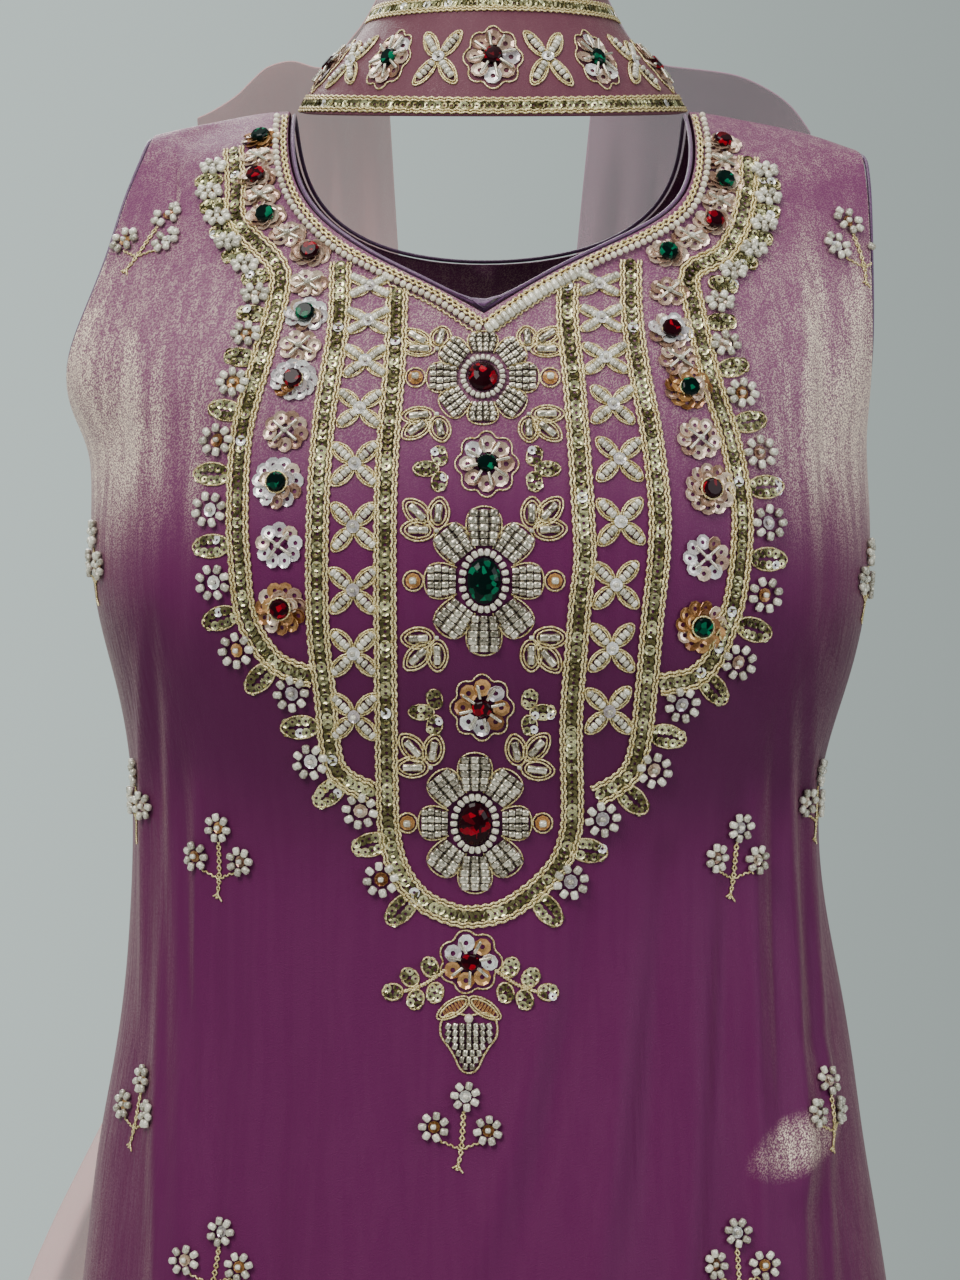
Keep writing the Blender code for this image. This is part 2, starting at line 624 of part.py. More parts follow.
def add_neck_binding():
    """Piping round the whole neck: down and up the front, then round the back."""
    edges, outs = [], []
    loop = ((FRONT, FRONT_NECK, LEFT, False), (FRONT, FRONT_NECK, RIGHT, True),
            (BACK, BACK_NECK, RIGHT, False), (BACK, BACK_NECK, LEFT, True))
    for face, table, side, climbing in loop:
        rows = strap_rows(side, face, table)
        order = list(range(1, len(rows)))
        if climbing:
            order = order[-2::-1]
        for i in order:
            edges.append(rows[i][0])
            outs.append(panel_normal(rows, i, 0))
    return add_piping("neck_binding", edges, outs)


def add_armhole_binding(name, side):
    """Piping round one armhole: down the front edge and up the back one."""
    edges, outs = [], []
    for face, table, climbing in ((FRONT, FRONT_NECK, False), (BACK, BACK_NECK, True)):
        rows = panel_points(face, table, side)
        last = next(i for i, row in enumerate(rows) if abs(row[-1].z - UNDERARM_Z) < 0.0005)
        order = list(range(1, last))
        if climbing:
            order.reverse()
        for i in order:
            edges.append(rows[i][-1])
            outs.append(panel_normal(rows, i, len(rows[i]) - 2))
        if not climbing:
            bottom = rows[last][-1]
            edges.append(Vector((bottom.x, 0.0, bottom.z)))
            outs.append(Vector((side, 0.0, 0.0)))
    return add_piping(name, edges, outs)


# ---------------------------------------------------------------- yoke embroidery
class FrontSurface:
    """The front panel as built, for what is sewn on it."""

    def __init__(self, panel):
        self.tree = BVHTree.FromObject(panel, bpy.context.evaluated_depsgraph_get())

    def cloth(self, x, z):
        """The panel's outer point at a place of its front view."""
        return self.tree.ray_cast(Vector((x, -1.0, z)), Vector((0.0, 1.0, 0.0)))[0]

    def above(self, x, z, lift):
        """A point of the panel moved out along its smooth normal."""
        over = self.cloth(x + NORMAL_STEP, z) - self.cloth(x - NORMAL_STEP, z)
        up = self.cloth(x, z + NORMAL_STEP) - self.cloth(x, z - NORMAL_STEP)
        return self.cloth(x, z) + over.cross(up).normalized() * lift


def add_band(name, stations, front):
    """A raised flat band of couched cord along its stations on the front panel."""
    path = through([Vector((s.x, 0.0, s.z)) for s in stations], BAND_STEP)
    sheet = bmesh.new()
    rings = []
    for i, flat in enumerate(path):
        along = (path[min(i + 1, len(path) - 1)] - path[max(i - 1, 0)]).normalized()
        aside = Vector((along.z, 0.0, -along.x)) * BAND_WIDTH / 2
        ring = []
        for way, lift in ((-1, TRIM_LIFT), (1, TRIM_LIFT), (1, TRIM_LIFT + BAND_HEIGHT),
                          (-1, TRIM_LIFT + BAND_HEIGHT)):
            place = flat + aside * way
            ring.append(sheet.verts.new(front.above(place.x, place.z, lift)))
        rings.append(ring)
    for a, b in zip(rings, rings[1:]):
        for k in range(4):
            sheet.faces.new((a[k], a[(k + 1) % 4], b[(k + 1) % 4], b[k]))
    sheet.faces.new(rings[0])
    sheet.faces.new(reversed(rings[-1]))
    bmesh.ops.recalc_face_normals(sheet, faces=sheet.faces)
    mesh = bpy.data.meshes.new(name)
    sheet.to_mesh(mesh)
    sheet.free()
    return add_object(name, mesh, "gold")


def add_studded(name, x, z, rings, points, finish, front):
    """A closed stud on the panel, from rings of (half width, half height, petal, lift)."""
    sheet = bmesh.new()
    built = []
    for half_width, half_height, petal, lift in rings:
        ring = []
        for k in range(points):
            angle = math.tau * k / points
            reach = 1 - petal * (1 - abs(math.cos(angle * PETALS / 2)))
            ring.append(sheet.verts.new(front.above(
                x + half_width * reach * math.cos(angle),
                z + half_height * reach * math.sin(angle), lift)))
        built.append(ring)
    for a, b in zip(built, built[1:]):
        for k in range(points):
            sheet.faces.new((a[k], a[(k + 1) % points], b[(k + 1) % points], b[k]))
    sheet.faces.new(built[0])
    sheet.faces.new(reversed(built[-1]))
    bmesh.ops.recalc_face_normals(sheet, faces=sheet.faces)
    mesh = bpy.data.meshes.new(name)
    sheet.to_mesh(mesh)
    sheet.free()
    return add_object(name, mesh, finish)


def add_centre_flower(number, flower, front):
    """Petals in low relief with a domed glass stone rising from the middle."""
    top = TRIM_LIFT + PETAL_HEIGHT
    crest = TRIM_LIFT + CENTRE_STONE_HEIGHT
    rings = (
        *((flower.width * share, flower.height * share, 0.0, TRIM_LIFT) for share in BACK_RINGS),
        (flower.width / 2, flower.height / 2, PETAL_NOTCH, TRIM_LIFT),
        (flower.width / 2, flower.height / 2, PETAL_NOTCH, top),
        (flower.stone_width / 2, flower.stone_height / 2, 0.0, top),
        (flower.stone_width / 2, flower.stone_height / 2, 0.0, blend(top, crest, CENTRE_GIRDLE)),
        (flower.stone_width / 2 * GIRDLE, flower.stone_height / 2 * GIRDLE, 0.0, crest),
    )
    return add_studded(f"centre_flower_{number}", flower.x, flower.z, rings, FLOWER_POINTS,
                       "silver_beads", front)


def add_side_stone(number, stone, front):
    """One round faceted glass stone."""
    half = STONE_WIDTH / 2
    rings = (
        (half, half, 0.0, TRIM_LIFT),
        (half, half, 0.0, TRIM_LIFT + STONE_HEIGHT * GIRDLE),
        (half * GIRDLE, half * GIRDLE, 0.0, TRIM_LIFT + STONE_HEIGHT),
    )
    return add_studded(f"stone_{number:02d}", stone.x, stone.z, rings, STONE_POINTS, stone.glass,
                       front)


# ---------------------------------------------------------------- salwar
def torso_point(angle, z):
    """Point of the salwar round the hips: angle 0 at the right side, 90 degrees at the back."""
    side = smooth(SALWAR_TORSO, "z", "side", z)
    depth = smooth(SALWAR_TORSO, "z", "back" if math.sin(angle) > 0 else "front", z)
    x = side * math.copysign(abs(math.cos(angle)) ** (2 / ROUNDNESS), math.cos(angle))
    y = depth * math.copysign(abs(math.sin(angle)) ** (2 / ROUNDNESS), math.sin(angle))
    return Vector((x, y, z))


def add_belt():
    """The plain yoke round the waist."""
    rows = []
    for z in (SALWAR_WAIST_Z, BELT_MIDDLE_Z, BELT_END_Z):
        rows.append([torso_point(math.tau * k / BELT_COLUMNS, z)
                     for k in range(BELT_COLUMNS + 1)])
    sheet = bmesh.new()
    add_grid(sheet, rows)
    weld(sheet)
    return add_wall("salwar_belt", sheet, "plum_cotton")


def hip_row(z):
    """Half round the hips, from the front seam to the back seam, on the right side."""
    return [torso_point(blend(-math.pi / 2, math.pi / 2, j / LEG_COLUMNS), z)
            for j in range(LEG_COLUMNS + 1)]


def leg_row(z):
    """Round one leg, from its inner side through front, outside and back."""
    centre = smooth(SALWAR_LEG, "z", "centre", z)
    half_width = smooth(SALWAR_LEG, "z", "half_width", z)
    depth = smooth(SALWAR_LEG, "z", "depth", z)
    row = []
    for j in range(LEG_COLUMNS + 1):
        angle = blend(-math.pi, math.pi, j / LEG_COLUMNS)
        row.append(Vector((centre + half_width * math.cos(angle),
                           CROTCH_Y * (1 - abs(angle) / math.pi)
                           + depth * math.sin(angle), z)))
    return row


def pleat_depth(z):
    """How deep the salwar's pleats are at a height."""
    if z > CROTCH_Z:
        return blend(HIP_PLEAT, SALWAR_LEG[0].pleat, ease((BELT_END_Z - z) / HIP_PLEAT_RUN))
    return smooth(SALWAR_LEG, "z", "pleat", z)


def leg_rows():
    """Rows of the right leg from the belt to the cuff, open at the middle above the crotch."""
    rows = [hip_row(z) for z in HIP_ROWS]
    for w in CROTCH_BLENDS:
        z = blend(CROTCH_START_Z, CROTCH_Z, math.sqrt(1 - (1 - w) ** 2))
        rows.append([a.lerp(b, w) for a, b in zip(hip_row(z), leg_row(z))])
    open_rows = len(rows)
    rows += [leg_row(z) for z in LEG_ROWS]
    for i, row in enumerate(rows):
        for j, point in enumerate(row):
            s = j / LEG_COLUMNS
            fade = ease(min(s, 1 - s) * PLEAT_FADE)
            wave = math.cos(math.tau * LEG_PLEATS * s) * pleat_depth(point.z) / 2 * fade
            axis = Vector((PLEAT_AXIS_X, 0.0, point.z))
            point += (point - axis).normalized() * wave
            point.x = max(point.x, SEAM_GAP / 2)
        if i < open_rows:
            for end, beside in ((0, 1), (LEG_COLUMNS, LEG_COLUMNS - 1)):
                row[end].x = SEAM_GAP / 2
                row[beside] = row[end] + Vector((SEAM_STRIP, 0.0, 0.0))
        else:
            row[-1] = row[0].copy()
    return rows


def add_legs():
    """Both legs of the salwar, the left one the mirror image of the right."""
    for name, side in (("salwar_leg_left", LEFT), ("salwar_leg_right", RIGHT)):
        rows = [[Vector((side * p.x, p.y, p.z)) for p in row] for row in leg_rows()]
        sheet = bmesh.new()
        add_grid(sheet, rows, flip=side == LEFT)
        weld(sheet)
        add_wall(name, sheet, "plum_cotton")


def add_cuffs():
    """The cuffs at the ankles."""
    for name, side in (("salwar_cuff_left", LEFT), ("salwar_cuff_right", RIGHT)):
        centre = smooth(SALWAR_LEG, "z", "centre", CUFF_Z)
        rows = []
        for z, flare in ((CUFF_Z - SEAM_GAP, 0.0), (ANKLE_Z, 1.0)):
            grow = CUFF_FLARE * flare
            rows.append([Vector((side * (centre + (CUFF_HALF_WIDTH + grow) * math.cos(a)),
                                 (CUFF_DEPTH + grow) * math.sin(a), z))
                         for a in (math.tau * k / LEG_COLUMNS
                                   for k in range(LEG_COLUMNS + 1))])
        sheet = bmesh.new()
        add_grid(sheet, rows, flip=side == LEFT)
        weld(sheet)
        add_wall(name, sheet, "plum_cotton")


# ---------------------------------------------------------------- dupatta
def add_neck_wrap():
    """The dupatta's stretch across the front of the neck, widening to its lower edge."""
    rows = []
    for ring in reversed(NECK_WRAP):
        row = []
        for j in range(NECK_COLUMNS + 1):
            angle = blend(-math.pi / 2, math.pi / 2, j / NECK_COLUMNS)
            front = math.cos(angle)
            row.append(Vector((NECK_WRAP_X + ring.half_width * math.sin(angle),
                               NECK_WRAP_Y - ring.depth * front,
                               ring.z - ring.sag * front)))
        for end, beside in ((0, 1), (-1, -2)):
            row[beside] = row[end] - Vector((0.0, SEAM_STRIP, 0.0))
        rows.append(row)
    sheet = bmesh.new()
    add_grid(sheet, rows)
    weld(sheet)
    return add_wall("dupatta_neck", sheet, "mauve_tissue")


def drape_top_z(side, x):
    """Height of the drape's crest over a shoulder."""
    return smooth(DRAPE_TOP_LEFT if side == LEFT else DRAPE_TOP_RIGHT, "x", "z", abs(x))


def drape_x(side, w, z):
    """Sideways place of a fraction w of the way across a drape, inner edge first."""
    name = "left" if side == LEFT else "right"
    inner = smooth(DRAPE, "z", f"{name}_in", z)
    outer = smooth(DRAPE, "z", f"{name}_out", z)
    return blend(inner, outer, w)


def drape_point(side, w, z, crest):
    """Point of a drape behind the body, crest being the height it starts from."""
    x = drape_x(side, w, z)
    spread = smooth(DRAPE, "z", "spread", z)
    crown = math.sqrt(max(0.0, 1 - (x / spread) ** DRAPE_ROUNDNESS))
    depth = smooth(DEPTHS, "drop", "back", crest - z) * crown
    settle = ease((crest - z) / PLEAT_SETTLE)
    wave = math.cos(math.tau * DRAPE_PLEATS * w) * smooth(DRAPE, "z", "pleat", z) * settle
    return Vector((side * x, DRAPE_LIFT + depth + wave, z))


def shoulder_rows(side):
    """Rows of a shoulder stretch, from its crest to the join with the tail."""
    columns = [j / DRAPE_COLUMNS for j in range(DRAPE_COLUMNS + 1)]
    crests = [drape_top_z(side, drape_x(side, w, DRAPE[0].z)) for w in columns]
    rows = []
    for back in (0.0, SEAM_STRIP):
        rows.append([drape_point(side, w, crest, crest) + Vector((0.0, back, 0.0))
                     for w, crest in zip(columns, crests)])
    for k in range(1, SHOULDER_ROWS + 1):
        t = (k / SHOULDER_ROWS) ** SHOULDER_CROWDING
        rows.append([drape_point(side, w, blend(crest, DRAPE_JOIN_Z, t), crest)
                     for w, crest in zip(columns, crests)])
    return rows, crests


def add_drape(side):
    """A shoulder stretch and the tail below it."""
    name = "left" if side == LEFT else "right"
    rows, crests = shoulder_rows(side)
    sheet = bmesh.new()
    add_grid(sheet, rows, flip=side == RIGHT)
    weld(sheet)
    add_wall(f"dupatta_shoulder_{name}", sheet, "mauve_tissue")
    columns = [j / DRAPE_COLUMNS for j in range(DRAPE_COLUMNS + 1)]
    rows = []
    for k in range(TAIL_ROWS + 1):
        z = blend(DRAPE_JOIN_Z - SEAM_GAP, DRAPE_END_Z, k / TAIL_ROWS)
        rows.append([drape_point(side, w, z, crest) for w, crest in zip(columns, crests)])
    sheet = bmesh.new()
    add_grid(sheet, rows, flip=side == RIGHT)
    weld(sheet)
    add_wall(f"dupatta_tail_{name}", sheet, "mauve_tissue")


# ---------------------------------------------------------------- build
def clear_scene():
    """Remove what the opened file holds and start the suit's collection."""
    for old in list(bpy.data.objects):
        bpy.data.objects.remove(old, do_unlink=True)
    home = bpy.data.collections.new(SUIT)
    bpy.context.scene.collection.children.link(home)


def main():
    """Build every piece of the suit."""
    clear_scene()
    front = FrontSurface(add_panel("kameez_front", FRONT, FRONT_NECK, FRONT_FOLDS))
    add_panel("kameez_back", BACK, BACK_NECK, BACK_FOLDS)
    add_neck_binding()
    add_armhole_binding("armhole_binding_left", LEFT)
    add_armhole_binding("armhole_binding_right", RIGHT)
    for name, stations in GOLD_BANDS.items():
        add_band(name, stations, front)
    for number, flower in enumerate(CENTRE_FLOWERS, start=1):
        add_centre_flower(number, flower, front)
    for number, stone in enumerate(SIDE_STONES, start=1):
        add_side_stone(number, stone, front)
    add_belt()
    add_legs()
    add_cuffs()
    add_neck_wrap()
    for side in (LEFT, RIGHT):
        add_drape(side)


main()
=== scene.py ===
"""Looks of the salwar kameez suit: tissue cloth, beaded yoke, dupatta and salwar.

Metres, +Z up, the suit facing -Y. "Left" and "right" are the viewer's, looking at the front.
Embroidery is laid out on grounds: a ground turns a flat place on the cloth into a point and
a normal of the finished cloth, so that every bead, sequin and cord sits on the surface.
"""
import logging
import math
import random
from collections.abc import Iterator
from dataclasses import dataclass
from enum import Enum
from functools import cache

import bmesh
import bpy
import numpy as np
from mathutils import Matrix, Vector
from mathutils.bvhtree import BVHTree


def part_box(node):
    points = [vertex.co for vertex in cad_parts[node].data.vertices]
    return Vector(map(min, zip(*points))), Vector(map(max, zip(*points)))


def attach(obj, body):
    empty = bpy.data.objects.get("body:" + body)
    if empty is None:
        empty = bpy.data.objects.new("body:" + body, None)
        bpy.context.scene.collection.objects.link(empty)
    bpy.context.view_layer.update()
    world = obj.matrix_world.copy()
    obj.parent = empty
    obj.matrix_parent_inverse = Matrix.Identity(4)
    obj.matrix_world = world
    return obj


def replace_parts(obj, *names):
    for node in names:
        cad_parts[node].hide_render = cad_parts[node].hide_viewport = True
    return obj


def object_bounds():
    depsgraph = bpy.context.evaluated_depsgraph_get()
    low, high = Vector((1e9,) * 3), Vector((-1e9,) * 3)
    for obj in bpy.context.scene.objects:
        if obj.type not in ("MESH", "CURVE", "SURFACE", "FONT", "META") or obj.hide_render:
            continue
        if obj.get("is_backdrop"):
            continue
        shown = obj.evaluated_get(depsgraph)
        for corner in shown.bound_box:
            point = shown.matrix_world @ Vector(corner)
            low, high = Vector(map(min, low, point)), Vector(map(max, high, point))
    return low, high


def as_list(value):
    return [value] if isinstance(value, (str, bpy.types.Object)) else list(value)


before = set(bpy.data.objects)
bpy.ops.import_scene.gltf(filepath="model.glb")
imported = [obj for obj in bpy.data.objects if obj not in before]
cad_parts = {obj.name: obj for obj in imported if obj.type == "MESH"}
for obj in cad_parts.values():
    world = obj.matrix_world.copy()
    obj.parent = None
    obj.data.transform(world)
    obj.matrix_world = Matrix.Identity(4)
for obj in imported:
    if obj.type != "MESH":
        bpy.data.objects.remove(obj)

log = logging.getLogger("salwar_kameez_suit")
Colour = tuple[float, float, float]
Socket = bpy.types.NodeSocket
Place = tuple[float, float]
Creases = tuple[tuple[float, ...], ...]
Hit = tuple[Vector, Vector]
Size = tuple[float, float, float]
# The neck's point in the front view, and how far round it the edge is kept sharp.
NECK_POINT = (0.0, -0.1015)
NECK_REACH = (0.0005, 0.004)
# A flower squeezed to less than this height has fewer beads in its rings.
SQUASHED = 0.7


# ------ material graphs
class Graph:
    """Node graph of a material or the world, with short calls for the nodes used most."""

    def __init__(self, name: str, world: bool = False) -> None:
        """Start a graph that holds only its shader.

        Args:
            name: The material's or the world's name, in a maker's words.
            world: Whether it is the world.
        """
        made = (bpy.data.worlds if world else bpy.data.materials).new(name)
        made.use_nodes = True
        self.material = made
        self.tree = made.node_tree
        self.shader = self.tree.nodes["Background" if world else "Principled BSDF"]

    def node(self, kind: str, **settings) -> bpy.types.Node:
        """Add a node.

        Args:
            kind: Node type without its ShaderNode prefix.
            settings: Properties of the node.

        Returns:
            The new node.
        """
        made = self.tree.nodes.new(f"ShaderNode{kind}")
        for key, value in settings.items():
            setattr(made, key, value)
        return made

    def feed(self, target: Socket, value) -> None:
        """Link a socket to an input, or set the input's own value.

        Args:
            target: The input socket.
            value: An output socket, a number or a colour.
        """
        if isinstance(value, Socket):
            self.tree.links.new(value, target)
        elif isinstance(value, tuple) and len(value) == 3 and target.type == "RGBA":
            target.default_value = (*value, 1.0)
        else:
            target.default_value = value

    def shade(self, **values) -> None:
        """Feed the shader's inputs, named with underscores for spaces."""
        for key, value in values.items():
            self.feed(self.shader.inputs[key.replace("_", " ")], value)

    def noise(self, stretch: Size, detail: float = 2.0,
              turn: float = 0.0) -> Socket:
        """Noise on object coordinates.

        Args:
            stretch: Cells for each metre along x, y and z.
            detail: Octaves of finer noise.
            turn: Turn about the y axis, in radians.

        Returns:
            The noise's value socket.
        """
        place = self.node("TexCoord")
        mapping = self.node("Mapping", vector_type="TEXTURE")
        mapping.inputs["Rotation"].default_value = (0.0, turn, 0.0)
        mapping.inputs["Scale"].default_value = [1.0 / cells for cells in stretch]
        self.tree.links.new(place.outputs["Object"], mapping.inputs["Vector"])
        noise = self.node("TexNoise")
        self.feed(noise.inputs["Scale"], 1.0)
        self.feed(noise.inputs["Detail"], detail)
        self.tree.links.new(mapping.outputs["Vector"], noise.inputs["Vector"])
        return noise.outputs["Fac"]

    def cells(self, scale: float) -> Socket:
        """A random value for each cell of a Voronoi pattern, for painted facet flashes.

        Args:
            scale: Cells for each metre.

        Returns:
            The value socket.
        """
        place = self.node("TexCoord")
        pattern = self.node("TexVoronoi")
        self.feed(pattern.inputs["Scale"], scale)
        self.tree.links.new(place.outputs["Object"], pattern.inputs["Vector"])
        part = self.node("SeparateColor")
        self.tree.links.new(pattern.outputs["Color"], part.inputs["Color"])
        return part.outputs["Red"]

    def tint(self) -> Socket:
        """The random tint that each bead or sequin carries."""
        return self.node("Attribute", attribute_name="tint").outputs["Fac"]

    def part(self, vector: Socket, axis: str) -> Socket:
        """One component of a vector."""
        parts = self.node("SeparateXYZ")
        self.tree.links.new(vector, parts.inputs["Vector"])
        return parts.outputs[axis]

    def normal(self, axis: str) -> Socket:
        """How far the cloth's normal leans along an axis."""
        return self.part(self.node("NewGeometry").outputs["Normal"], axis)

    def remap(self, value: Socket, low: float, high: float,
              start: float = 0.0, end: float = 1.0) -> Socket:
        """Stretch a range of a value to another range, smoothly and clamped.

        Args:
            value: The socket to stretch.
            low: Input that gives start.
            high: Input that gives end.
            start: Output at low.
            end: Output at high.

        Returns:
            The stretched value's socket.
        """
        made = self.node("MapRange", interpolation_type="SMOOTHSTEP")
        for key, number in (("From Min", low), ("From Max", high), ("To Min", start),
                            ("To Max", end)):
            self.feed(made.inputs[key], number)
        self.feed(made.inputs["Value"], value)
        return made.outputs["Result"]

    def maths(self, operation: str, first, second=0.0) -> Socket:
        """Work out a sum or the like of one or two values."""
        made = self.node("Math", operation=operation)
        self.feed(made.inputs[0], first)
        self.feed(made.inputs[1], second)
        return made.outputs["Value"]

    def plus(self, first, second) -> Socket:
        """Add two values."""
        return self.maths("ADD", first, second)

    def times(self, first, second) -> Socket:
        """Multiply two values."""
        return self.maths("MULTIPLY", first, second)

    def highest(self, first, second) -> Socket:
        """Take the higher of two values."""
        return self.maths("MAXIMUM", first, second)

    def place(self, axis: str) -> Socket:
        """The shaded point's own place along an axis."""
        return self.part(self.node("TexCoord").outputs["Object"], axis)

    def mix(self, amount, first, second) -> Socket:
        """Blend two colours.

        Args:
            amount: 0 for the first, 1 for the second.
            first: Colour or socket.
            second: Colour or socket.

        Returns:
            The blended colour's socket.
        """
        made = self.node("Mix", data_type="RGBA")
        self.feed(made.inputs["Factor"], amount)
        self.feed(made.inputs[6], first)
        self.feed(made.inputs[7], second)
        return made.outputs[2]

    def bump(self, height: Socket, distance: float, strength: float = 1.0) -> None:
        """Raise the surface by a pattern; a second call adds to the first.

        Args:
            height: The pattern.
            distance: Height of the pattern in metres.
            strength: How much of it shows.
        """
        made = self.node("Bump")
        self.feed(made.inputs["Distance"], distance)
        self.feed(made.inputs["Strength"], strength)
        self.feed(made.inputs["Height"], height)
        normal = self.shader.inputs["Normal"]
        if normal.is_linked:
            self.tree.links.new(normal.links[0].from_socket, made.inputs["Normal"])
        self.tree.links.new(made.outputs["Normal"], normal)


# ------ finishes
@dataclass(frozen=True)
class Finish:
    """A kind of surface: its name in a maker's words, its slot and its two colours."""

    name: str
    slot: str
    dark: Colour
    light: Colour

    @cache
    def material(self) -> bpy.types.Material:
        """Make the material once, patterned by its kind."""
        graph = Graph(self.name)
        self.pattern(graph)
        return graph.material

    def pattern(self, graph: Graph) -> None:
        """Lay the kind's own pattern into a new graph."""
        raise NotImplementedError


@dataclass(frozen=True)
class TissueFinish(Finish):
    """Tissue silk: a dyed warp crossed by a metallic weft; its glints, a lighter chest and shade
    below the bust are painted into the colour by height and surface direction.
    """

    weft: Colour
    # Painted light: glint is the strength of the painted weft highlight, and rest how much of the
    # painted chest light and glints stays below the chest.
    glint: float = 0.8
    rest: float = 0.0
    crinkle: float = 0.5
    # Middle of a painted highlight on one fold, or None for no such highlight.
    gleam: Place | None = None
    alpha: float = 1.0
    # Heights over which the painted chest light and glints rise from rest to full.
    chest: Place = (-0.205, -0.1)
    roughness: float = 0.46
    # Scale and slant of the painted fold highlight.
    gleam_spread: Place = (48.0, 75.0)
    gleam_slant: float = -0.4

    def pattern(self, graph: Graph) -> None:
        """Lay the weave, its crinkle and its painted light: painted weft glints, a painted gleam on
        one fold, painted shade below the bust and a lighter chest.

        Args:
            graph: The material's graph.
        """
        twill = graph.remap(graph.noise((2000.0, 2000.0, 1050.0), 1.0, 0.75), 0.46, 0.62)
        streaks = graph.remap(graph.noise((210.0, 210.0, 9.0)), 0.38, 0.62)
        side = graph.maths("ABSOLUTE", graph.normal("X"))
        ground = graph.mix(graph.remap(streaks, 0.0, 1.0, 0.0, 0.04), self.dark, self.light)
        # Painted sheen: the ground turns towards a dark brown where the cloth turns sideways.
        ground = graph.mix(graph.remap(side, 0.52, 0.98, 0.0, 0.15), ground,
                           tuple(0.12 * part ** 3 for part in self.weft))
        # Painted shade: the ground darkens where the cloth faces downward, below the bust.
        shade = graph.remap(graph.normal("Z"), -0.24, -0.02, 0.55, 0.0)
        ground = graph.mix(shade, ground, tuple(0.4 * part for part in self.dark))
        # Painted highlight: the weft's glints, set by the weave, height and surface direction.
        chest, painted_shine = self.painted_shine(graph, side)
        sparkle = graph.times(graph.remap(twill, 0.0, 0.9, 0.12, 1.3),
                              graph.remap(streaks, 0.0, 1.0, 0.55, 1.1))
        amount = graph.times(sparkle, graph.times(painted_shine, self.glint))
        # Painted light: the chest is lightened towards the light colour.
        painted_chest_light = graph.mix(graph.times(chest, 0.74), ground, self.light)
        # The painted weft highlight is mixed into the base colour.
        graph.shade(Base_Color=graph.mix(amount, painted_chest_light, self.weft),
                    Metallic=graph.remap(amount, 0.0, 0.8, 0.04, 0.12),
                    Roughness=graph.remap(twill, 0.0, 1.0, self.roughness + 0.08,
                                          self.roughness - 0.08),
                    Sheen_Weight=0.12, Sheen_Roughness=0.3, Sheen_Tint=self.weft,
                    Alpha=self.alpha, Specular_IOR_Level=0.16)
        graph.bump(graph.times(graph.noise((330.0, 330.0, 16.0)),
                               graph.remap(side, 0.4, 0.85, 0.1, 1.0)), 0.0014, self.crinkle)
        graph.bump(twill, 0.0001, 0.5)

    def painted_shine(self, graph: Graph, side: Socket) -> tuple[Socket, Socket]:
        """Say where the painted weft highlight goes.

        Args:
            graph: The cloth's graph.
            side: How far the cloth turns to either side.

        Returns:
            How much a point is on the chest, and how much painted highlight it gets.
        """
        height = graph.place("Z")
        lower = graph.plus(height, graph.times(side, 0.04))
        # The chest, fading near the shoulders: where the painted chest light and painted glints go.
        chest = graph.times(graph.remap(lower, *self.chest, self.rest, 1.0),
                            graph.remap(height, -0.1, -0.01, 1.0, 0.35))
        # Painted highlight, strongest where the chest turns sideways.
        gold = graph.times(chest, graph.remap(side, 0.36, 0.88, 0.26, 1.7))
        # Painted sheen on the turned sides and on upward-facing folds.
        edges = graph.highest(graph.remap(side, 0.62, 0.98, 0.0, 0.07),
                              graph.remap(graph.normal("Z"), 0.42, 0.6, 0.0, 0.15))
        clouds = graph.remap(graph.noise((9.0, 9.0, 5.0)), 0.32, 0.7, 0.7, 1.05)
        painted_shine = graph.times(graph.highest(graph.times(chest, gold), edges), clouds)
        # A painted highlight on one fold, where set.
        if self.gleam:
            painted_shine = graph.highest(painted_shine, self.painted_fold_gleam(graph, height))
        return chest, painted_shine

    def painted_fold_gleam(self, graph: Graph, height: Socket) -> Socket:
        """Paint a highlight where a slack fold at one side of the front would catch the light.

        Args:
            graph: The cloth's graph.
            height: The height of the shaded point.

        Returns:
            How much the fold gleams, 0 to 1.
        """
        across = graph.times(graph.plus(graph.place("X"), -self.gleam[0]), self.gleam_spread[0])
        along = graph.times(graph.plus(height, -self.gleam[1]), self.gleam_spread[1])
        slant = graph.plus(along, graph.times(across, self.gleam_slant))
        far = graph.plus(graph.times(across, across), graph.times(slant, slant))
        ragged = graph.plus(far, graph.noise((60.0, 60.0, 60.0), 3.0))
        return graph.times(graph.remap(ragged, 1.9, 0.3),
                           graph.remap(graph.normal("Y"), -0.2, 0.0, 0.62, 0.0))


@dataclass(frozen=True)
class SatinFinish(Finish):
    """The smooth bias strip that is rolled over the raw edges."""

    def pattern(self, graph: Graph) -> None:
        """Lay the fine threads.

        Args:
            graph: The material's graph.
        """
        threads = graph.noise((1400.0, 1400.0, 1400.0))
        graph.shade(Base_Color=graph.mix(graph.remap(threads, 0.35, 0.7), self.dark, self.light),
                    Roughness=0.42, Sheen_Weight=0.3, Specular_IOR_Level=0.6)
        graph.bump(threads, 0.0002, 0.5)


@dataclass(frozen=True)
class CottonFinish(Finish):
    """Plain woven cotton."""

    def pattern(self, graph: Graph) -> None:
        """Lay the weave and its soft creases.

        Args:
            graph: The material's graph.
        """
        weave = graph.plus(graph.noise((1500.0, 1500.0, 120.0), 1.0),
                           graph.noise((140.0, 140.0, 1500.0), 1.0))
        clouds = graph.noise((16.0, 16.0, 10.0), 3.0)
        cloth = graph.mix(graph.remap(weave, 0.75, 1.25), self.dark, self.light)
        graph.shade(Base_Color=graph.mix(graph.remap(clouds, 0.3, 0.7, 0.0, 0.5), cloth, self.dark),
                    Roughness=0.82, Sheen_Weight=0.25, Sheen_Roughness=0.5)
        graph.bump(graph.noise((120.0, 120.0, 26.0), 3.0), 0.001, 0.45)
        graph.bump(weave, 0.0002, 0.7)


